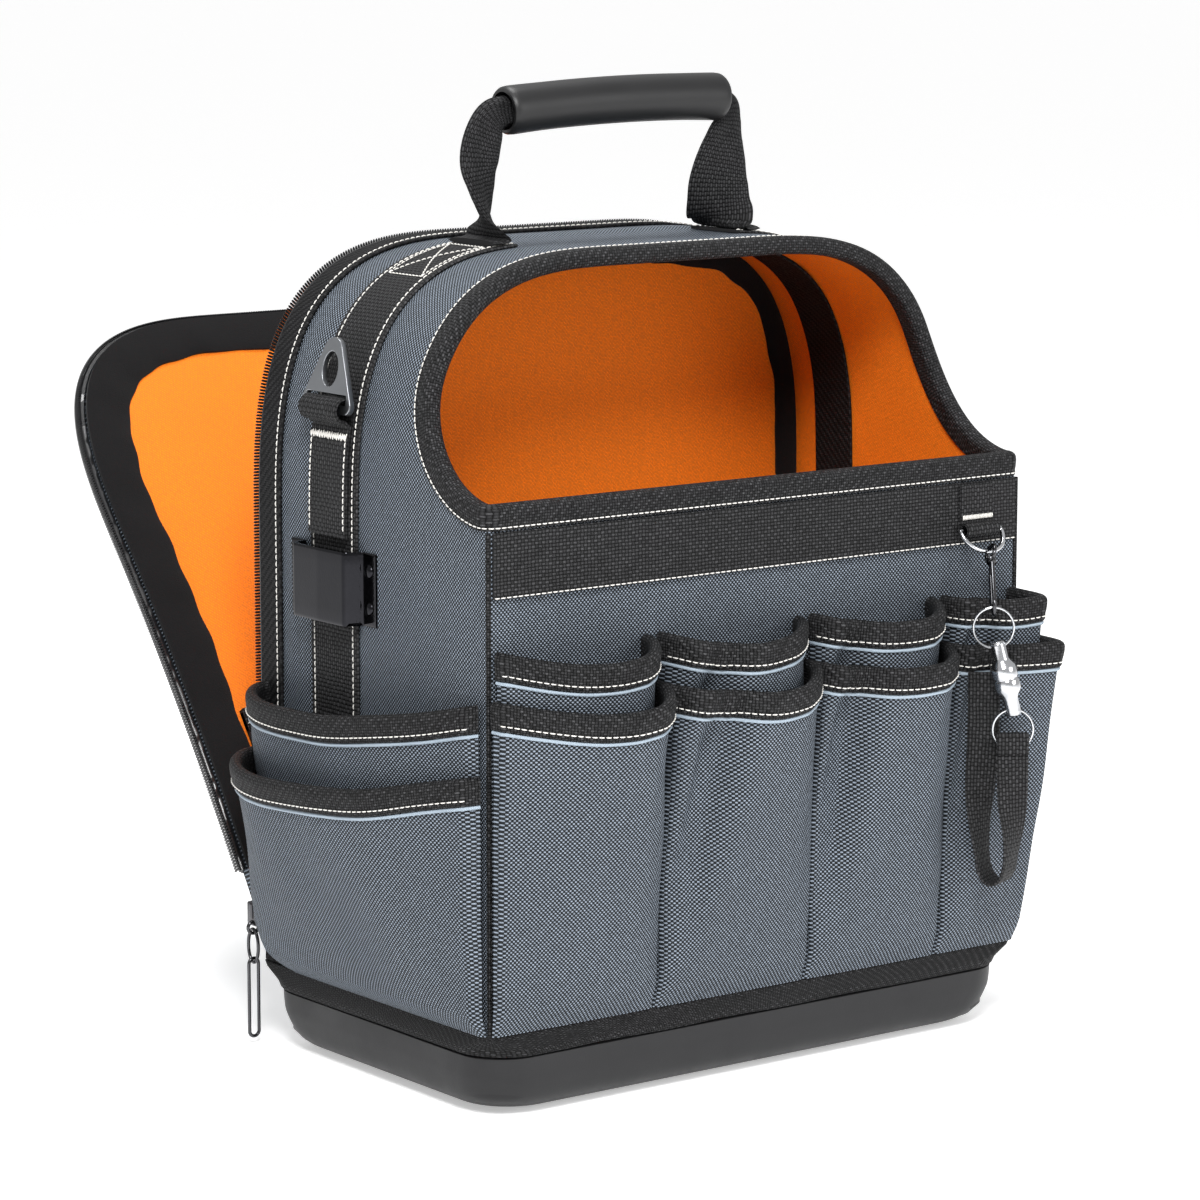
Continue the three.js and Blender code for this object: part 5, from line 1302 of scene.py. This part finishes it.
def make_handle():
    foot_z, rise = 402.88, 63.12
    left = [(0, 0, 1, 0), (0.01, 0.08, 0.85, 8), (0.02, 0.2, 0.5, 38), (0.05, 0.38, 0.5, 70),
            (0.075, 0.58, 0.56, 92), (0.035, 0.78, 0.54, 96), (-0.05, 0.93, 0.46, 92)]
    right = [(0.05, 0.97, 0.3, 90), (0.06, 0.84, 0.42, 90), (0.03, 0.7, 0.58, 88),
             (0.0, 0.55, 0.74, 86), (-0.03, 0.36, 0.84, 80), (-0.03, 0.18, 0.82, 62),
             (-0.01, 0.06, 0.9, 28), (0, 0, 1, 0)]
    lap = ARCH.point(ARCH.s_at_x(-(HANDLE_X + 9)), 3.4, STRAP_Y)
    rows = [(lap[0], lap[2], 1.0, 0)]
    rows += [(-(HANDLE_X + a * rise), foot_z + b * rise, w, t) for a, b, w, t in left]
    for share in (0.04, 0.2, 0.4, 0.6, 0.8, 0.96):
        x, _, z = grip_line(share)
        rows.append((x, z, 0.36 - 0.1 * share, 90))
    rows += [(HANDLE_X + a * rise, foot_z + b * rise, w, t) for a, b, w, t in right]
    rows.append((-lap[0], lap[2], 1.0, 0))
    dense = catmull(rows, 360)
    middle = np.stack([dense[:, 0], np.full(360, STRAP_Y), dense[:, 1]], 1)
    across, facing = band_frames(middle, np.radians(dense[:, 3]))
    width = dense[:, 2] * 40
    thick = 3.0 + 5.2 * (1 - np.clip(dense[:, 2], 0, 1)) * smooth(1 - dense[:, 2], 0.1, 0.5)
    cols = 13
    side = np.linspace(-1, 1, cols)
    rim = np.concatenate([np.stack([side, (1 - side**6) * 0.5], 1),
                          np.stack([side[::-1][1:-1], -(1 - side[::-1][1:-1] ** 6) * 0.5], 1)])
    crease = np.concatenate([-0.35 * np.exp(-(side / 0.25) ** 2), np.zeros(cols - 2)])
    fold = smooth(1 - dense[:, 2], 0.15, 0.5)
    sections = (middle[:, None]
                + across[:, None] * (rim[None, :, :1] * width[:, None, None] / 2)
                + facing[:, None] * (rim[None, :, 1:] * thick[:, None, None]
                                     + (crease[None] * fold[:, None] * 2.0)[..., None]))
    v = np.concatenate([rim[:, 0], rim[:1, 0]]) * 20
    form = Form()
    form.loft(sections, u=lengths(middle), v=v)
    dress(form, "handle_webbing", [WEBBING], ["handle_strap"])

    form = Form()
    share = np.concatenate([[0, 0.004, 0.012, 0.03], np.linspace(0.06, 0.94, 26),
                            [0.97, 0.988, 0.996, 1]])
    ease = np.clip(np.minimum(share, 1 - share) / 0.02, 0, 1)
    outer = 12.0 - 1.3 * (1 - ease) ** 2 - 0.25 * smooth(np.minimum(share, 1 - share), 0.02, 0.2)
    shares = np.concatenate([share, share[::-1]])
    radii = np.concatenate([outer, np.full(len(share), 9.4)])
    centre = grip_line(shares)
    way = unit(np.gradient(grip_line(share), axis=0))
    way = np.concatenate([way, way[::-1]])
    depth = np.array([0.0, 1.0, 0.0])
    lift = unit(np.cross(way, depth))
    sections = []
    for turn in around(40):
        sections.append(centre + radii[:, None] * (depth * math.cos(turn) + lift * math.sin(turn)))
    form.loft(np.array(sections), ring=True)
    dress(form, "handle_grip_rubber", [RUBBER], ["handle_grip"])


# Small metal pieces
def oval(centre, first, second, a, b, count=40):
    turn = around(count)
    return (np.asarray(centre) + np.asarray(first) * (a * np.cos(turn))[:, None]
            + np.asarray(second) * (b * np.sin(turn))[:, None])


def stadium(centre, first, second, a, b, count=16):
    turn = np.linspace(0, np.pi, count)
    ends = []
    for end in (1, -1):
        ends.append(np.asarray(centre) + np.asarray(first) * (end * a * np.cos(turn))[:, None]
                    + np.asarray(second) * (end * (b - a + a * np.sin(turn)))[:, None])
    return np.concatenate(ends)


def rounded_box(form, centre, half, edge=0.8, look=0):
    levels = [(-1, 0.75), (-0.97, 0.9), (-0.85, 1), (0.85, 1), (0.97, 0.9), (1, 0.75)]
    rings = []
    for z, reach in levels:
        ring = rounded_ring(half[0] * reach, half[1] * reach, edge, 0, 4, 1)
        ring[:, 2] = z * half[2]
        rings.append(ring + centre)
    form.loft(np.array(rings), look=look)


ZIP_X, ZIP_Y = -168.4, 98.4
ZIP_WIRE = 0.9


def make_zip_pull():
    form = Form()
    rounded_box(form, np.array([-166.3, ZIP_Y, 66]), (3.0, 4.5, 6.0), 1.0)
    rounded_box(form, np.array([-169.2, ZIP_Y, 67.5]), (0.6, 1.4, 3.8), 0.3)
    form.tube(oval([ZIP_X, ZIP_Y, 59.1], X, Z, 3, 3, 28), ZIP_WIRE, 8, True)
    dress(form, "zip_slider_body", [GUNMETAL], ["zip_slider"])
    form = Form()
    form.tube(oval([ZIP_X, ZIP_Y, 49.7], Y, Z, 4.5, 8.5, 40), ZIP_WIRE, 10, True)
    dress(form, "zip_ring_wire", [GUNMETAL], ["zip_ring"])
    form = Form()
    form.tube(stadium([ZIP_X, ZIP_Y, 23.3], X, Z, 2.8, 20, 14), ZIP_WIRE, 10, True)
    dress(form, "zip_pull_wire", [GUNMETAL], ["zip_pull"])


# Chain at the front right
TAB_AXIS = np.array([134.0, -102.2, 256.7])
TAB_WIDE = 22.0
TAB_RADIUS = 2.95
RING_HALF = 13.2
RING_DROP = 13.0
RING_LEAN = math.radians(38)
CHAIN_TURN = math.radians(37)
UPPER_RING = np.array([116.0, -133.0, 213.0])
SPLIT_RADIUS = 10.0
SPLIT_WIRE = 0.62
MAGNET_LEAN = math.radians(14)
MAGNET_LONG = 32.0
HOOK_WIRE = 1.1
HOOK_EYE = 4.0
HOOK_HALF = 4.5
TAPE_STRAP_WIDE = 16.0
TAPE_STRAP_START = np.array([117.9, -124.6, 189.5])
TAPE_STRAP_FOOT = 84.0

RING_BOW = np.array([0, -math.sin(RING_LEAN), -math.cos(RING_LEAN)])
FACE = np.array([math.cos(CHAIN_TURN), -math.sin(CHAIN_TURN), 0])
FACE_OUT = np.array([-math.sin(CHAIN_TURN), -math.cos(CHAIN_TURN), 0])
MAGNET_WAY = FACE * math.sin(MAGNET_LEAN) - Z * math.cos(MAGNET_LEAN)
MAGNET_TOP = UPPER_RING + MAGNET_WAY * SPLIT_RADIUS
LOWER_RING = MAGNET_TOP + MAGNET_WAY * MAGNET_LONG - Z * SPLIT_RADIUS


def make_tab():
    tail_up = np.linspace(2, 22, 10)[:, None]
    turn = np.radians(np.linspace(0, 300, 26))
    path = np.concatenate([np.hstack([2.85 + 0 * tail_up, tail_up])[::-1],
                           np.stack([TAB_RADIUS * np.cos(-turn), TAB_RADIUS * np.sin(-turn)], 1)])
    path = spaced(catmull(path, 120), 0.8)
    section = strap_section(TAB_WIDE, 1.3, 7)
    flat = ribbon(path, section)
    sections = TAB_AXIS + Y * flat[..., :1] + Z * flat[..., 1:] + X * section[None, :, :1]
    form = Form()
    form.loft(sections, u=lengths(path), v=strap_v(section))
    dress(form, "tab_webbing", [WEBBING], ["tab"])
    across = np.linspace(-9.5, 9.5, 22)
    centre = TAB_AXIS + X * across[:, None] + Z * 6.2 + Y * 2.0
    SEWN.pills(centre, np.tile(Z, (22, 1)), np.tile(-Y, (22, 1)), 1.2, 0.33, bend=0.2)


def make_tab_ring():
    turn = np.linspace(0, np.pi, 24)
    line = (TAB_AXIS + X * (RING_HALF * np.cos(turn))[:, None]
            + RING_BOW * (RING_DROP * np.sin(turn) ** 0.85)[:, None])
    back = TAB_AXIS + X * np.linspace(-RING_HALF, RING_HALF, 12)[1:-1, None]
    form = Form()
    form.tube(np.concatenate([line, back]), HOOK_WIRE, 10, True)
    dress(form, "tab_ring_wire", [CHROME], ["tab_ring"])


def make_snap_hook():
    start = TAB_AXIS + RING_BOW * RING_DROP
    way = UPPER_RING + Z * SPLIT_RADIUS - start
    reach = np.linalg.norm(way)
    way = way / reach
    eye_side, hook_side = unit(np.cross(X, way)), unit(np.cross(FACE, way))
    gap = 2 * HOOK_WIRE + FIT
    eye_place = HOOK_EYE - gap - FIT
    neck = HOOK_EYE + eye_place
    last = reach + gap
    half = (last - neck - 2.6) / 2
    centre = start + way * (last - half)
    form = Form()
    form.tube(oval(start + way * eye_place, eye_side, way, HOOK_EYE, HOOK_EYE, 30), HOOK_WIRE, 10,
              True)
    form.tube(np.array([start + way * (neck + k) for k in (-0.2, 0.5, 1.4, 2.6, 3.2)]),
              np.array([1.6, 2.5, 2.6, 2.4, 1.5]), 14)
    form.tube(stadium(centre, hook_side, way, HOOK_HALF, half, 14), 1.15, 10, True)
    gate = centre + hook_side * HOOK_HALF
    form.tube(np.array([gate - way * (half - 5), gate + way * (half - 5)]), 1.5, 10)
    dress(form, "snap_hook_metal", [GUNMETAL], ["snap_hook"])


def make_split_rings():
    turn = np.linspace(0, 4 * np.pi - 0.5, 90)
    side = np.linspace(-0.55, 0.55, 90)
    for name, middle in (("upper", UPPER_RING), ("lower", LOWER_RING)):
        form = Form()
        coil = (middle + FACE * (SPLIT_RADIUS * np.cos(turn))[:, None]
                + Z * (SPLIT_RADIUS * np.sin(turn))[:, None] + FACE_OUT * side[:, None])
        form.tube(coil, SPLIT_WIRE, 8)
        dress(form, f"split_ring_{name}_wire", [CHROME], [f"split_ring_{name}"])


def make_magnet():
    profile = [(0.2, -3.1), (2.6, -3.2), (3.6, -2.4), (3.8, -1.0), (3.8, 5.6), (4.4, 7.2),
               (6.2, 9.6), (6.6, 10.6), (6.6, 14.8), (6.35, 15.4), (6.1, 15.7), (6.1, 16.3),
               (6.35, 16.6), (6.6, 17.2), (6.6, 21.4), (6.2, 22.4), (4.4, 24.8), (3.8, 26.4),
               (3.8, 33.0), (3.6, 34.4), (2.6, 35.2), (0.2, 35.1)]
    side = unit(np.cross(MAGNET_WAY, Y))
    other = np.cross(MAGNET_WAY, side)
    turn = around(36)
    rings = [MAGNET_TOP + MAGNET_WAY * at + r * (side * np.cos(turn)[:, None]
                                                 + other * np.sin(turn)[:, None])
             for r, at in profile]
    form = Form()
    form.loft(np.array(rings))
    dress(form, "magnet_metal", [CHROME], ["magnet"])


def make_tape_strap():
    strap_end = LOWER_RING - Z * SPLIT_RADIUS
    strap_start = TAPE_STRAP_START
    tall = strap_start[2] - TAPE_STRAP_FOOT
    span = np.array([strap_end[0] - strap_start[0], strap_end[1] - strap_start[1], 0])
    span_way = span / np.linalg.norm(span)
    span_side = np.cross(Z, span_way)
    radius = np.linalg.norm(span) / 2
    face_turn = math.acos(np.clip(span_way @ FACE, -1, 1))

    def edge_on(share):
        return face_turn + (math.pi / 2 - face_turn) * share

    rows = []
    for across, drop, edge in ((0, 0, 0), (0, 0.3, 0), (-0.08, 0.52, 0.2), (-0.1, 0.7, 0.7),
                               (0, 0.86, 1)):
        rows.append([*(strap_start + span * across - Z * drop * tall), edge_on(edge)])
    foot = strap_start + span * 0.5 - Z * 0.86 * tall
    for sweep in np.radians([35, 70, 110, 145]):
        rows.append([*(foot - span_way * radius * math.cos(sweep)
                       - Z * 0.14 * tall * math.sin(sweep)), edge_on(1)])
    for across, drop, edge in ((1, 0.86, 1), (1.06, 0.74, 0.75), (1.03, 0.6, 0.3)):
        place = strap_start + span * across - Z * drop * tall
        rows.append([*place, edge_on(edge)])
    rows.append([*(strap_end - Z * 2.0), edge_on(0)])
    dense = catmull(rows, 200)
    middle = dense[:, :3]
    along = unit(np.gradient(middle, axis=0))
    aimed = (span_way * np.cos(dense[:, 3])[:, None] + span_side * np.sin(dense[:, 3])[:, None])
    across = unit(aimed - along * (aimed * along).sum(1, keepdims=True))
    facing = np.cross(across, along)
    section = strap_section(TAPE_STRAP_WIDE, BAND_THICK, 7)
    sections = (middle[:, None] + across[:, None] * section[None, :, :1]
                + facing[:, None] * section[None, :, 1:])
    form = Form()
    form.loft(sections, u=lengths(middle), v=strap_v(section))
    bow_high = SPLIT_RADIUS - math.sqrt(SPLIT_RADIUS**2 - (TAPE_STRAP_WIDE / 2) ** 2)
    wide = 1.4 + BAND_THICK / 2
    low, high = -wide, bow_high + 2.8 + BAND_THICK / 2
    loop = np.array([(-wide, low), (wide, low), (wide, high), (-wide, high)])
    soft = []
    for k in range(4):
        a, b = loop[k], loop[(k + 1) % 4]
        soft += [a + (b - a) * f for f in (0.15, 0.5, 0.85)]
    soft = np.array(soft)
    tangent = unit(np.roll(soft, -1, 0) - np.roll(soft, 1, 0))
    normal = np.stack([tangent[:, 1], -tangent[:, 0]], 1)
    flat = soft[:, None] + normal[:, None] * section[None, :, 1:]
    form.loft(strap_end + FACE_OUT * flat[..., :1] + Z * flat[..., 1:]
              + FACE * section[None, :, :1], ring=True, v=strap_v(section))
    dress(form, "tape_strap_webbing", [WEBBING], ["tape_strap"])


# Build all
crown_s = float(ARCH.s_at_x(-HANDLE_X))
make_tub()
make_floor()
make_base_binding()
make_front_wall()
make_gusset()
rim_line, rim_out = make_rim()
sew(rim_line, rim_out)
make_front_webbing()
make_side_straps(crown_s)
make_gusset_trim()
make_body_coil()
make_corner_seams()
make_divider()
make_divider_binding()
make_flap()
make_flap_binding()
make_flap_zip()
make_flap_pockets()
make_pockets()
make_ring_loops()
make_rings()
make_clip()
make_handle()
make_zip_pull()
make_tab()
make_tab_ring()
make_snap_hook()
make_split_rings()
make_magnet()
make_tape_strap()
dress(SEWN, "stitching", [THREAD])


# Camera, light and floor, in metres and degrees
CAMERA_PLACE = (-1.3463, -1.7462, 0.580)
CAMERA_TURN = (80.75, 0, -37.1)
LENS = 134.4
FLOOR_REACH = 30.0

scene = bpy.context.scene
camera_data = bpy.data.cameras.new("camera")
camera_data.lens, camera_data.sensor_width = LENS, 36.0
camera_data.clip_end = 50.0
camera = bpy.data.objects.new("camera", camera_data)
camera.location = CAMERA_PLACE
camera.rotation_euler = [math.radians(turn) for turn in CAMERA_TURN]
scene.collection.objects.link(camera)
scene.camera = camera

world = bpy.data.worlds.new("studio")
world.use_nodes = True
world.node_tree.nodes["Background"].inputs[0].default_value = (1.0, 1.0, 1.0, 1)
world.node_tree.nodes["Background"].inputs[1].default_value = 0.62
scene.world = world
scene.view_settings.view_transform = "Standard"


def area_light(name, place, target, size, power, colour=(1, 1, 1)):
    data = bpy.data.lights.new(name, "AREA")
    data.shape, data.size, data.energy, data.color = "DISK", size, power, colour
    lamp = bpy.data.objects.new(name, data)
    lamp.location = place
    way = Vector(target) - Vector(place)
    lamp.rotation_euler = way.to_track_quat("-Z", "Y").to_euler()
    scene.collection.objects.link(lamp)
    lamp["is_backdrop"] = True


area_light("key", (-1.0, -1.3, 1.7), (0, 0, 0.2), 0.7, 46)
area_light("fill", (0.9, -1.9, 0.9), (0, 0, 0.2), 1.2, 14)
area_light("top", (0.1, 0.4, 2.0), (0, 0, 0.3), 0.8, 22)

floor_mesh = bpy.data.meshes.new("studio_floor")
signs = ((-1, -1), (1, -1), (1, 1), (-1, 1))
corners = [(x * FLOOR_REACH, y * FLOOR_REACH, 0) for x, y in signs]
floor_mesh.from_pydata(corners, [], [(0, 1, 2, 3)])
floor = bpy.data.objects.new("studio_floor", floor_mesh)
floor.location.z = -0.0005
floor_look = solid("studio_floor", (0.93, 0.93, 0.93), 0.6, grain=40.0, depth=0.0, smudge=0.01,
                   Emission_Color=(1, 1, 1, 1), Emission_Strength=0.4)
floor_mesh.materials.append(floor_look)
scene.collection.objects.link(floor)
floor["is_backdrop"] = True

last_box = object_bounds()
[[list(map(float, corner)) for corner in box] for box in (first_box, last_box)]
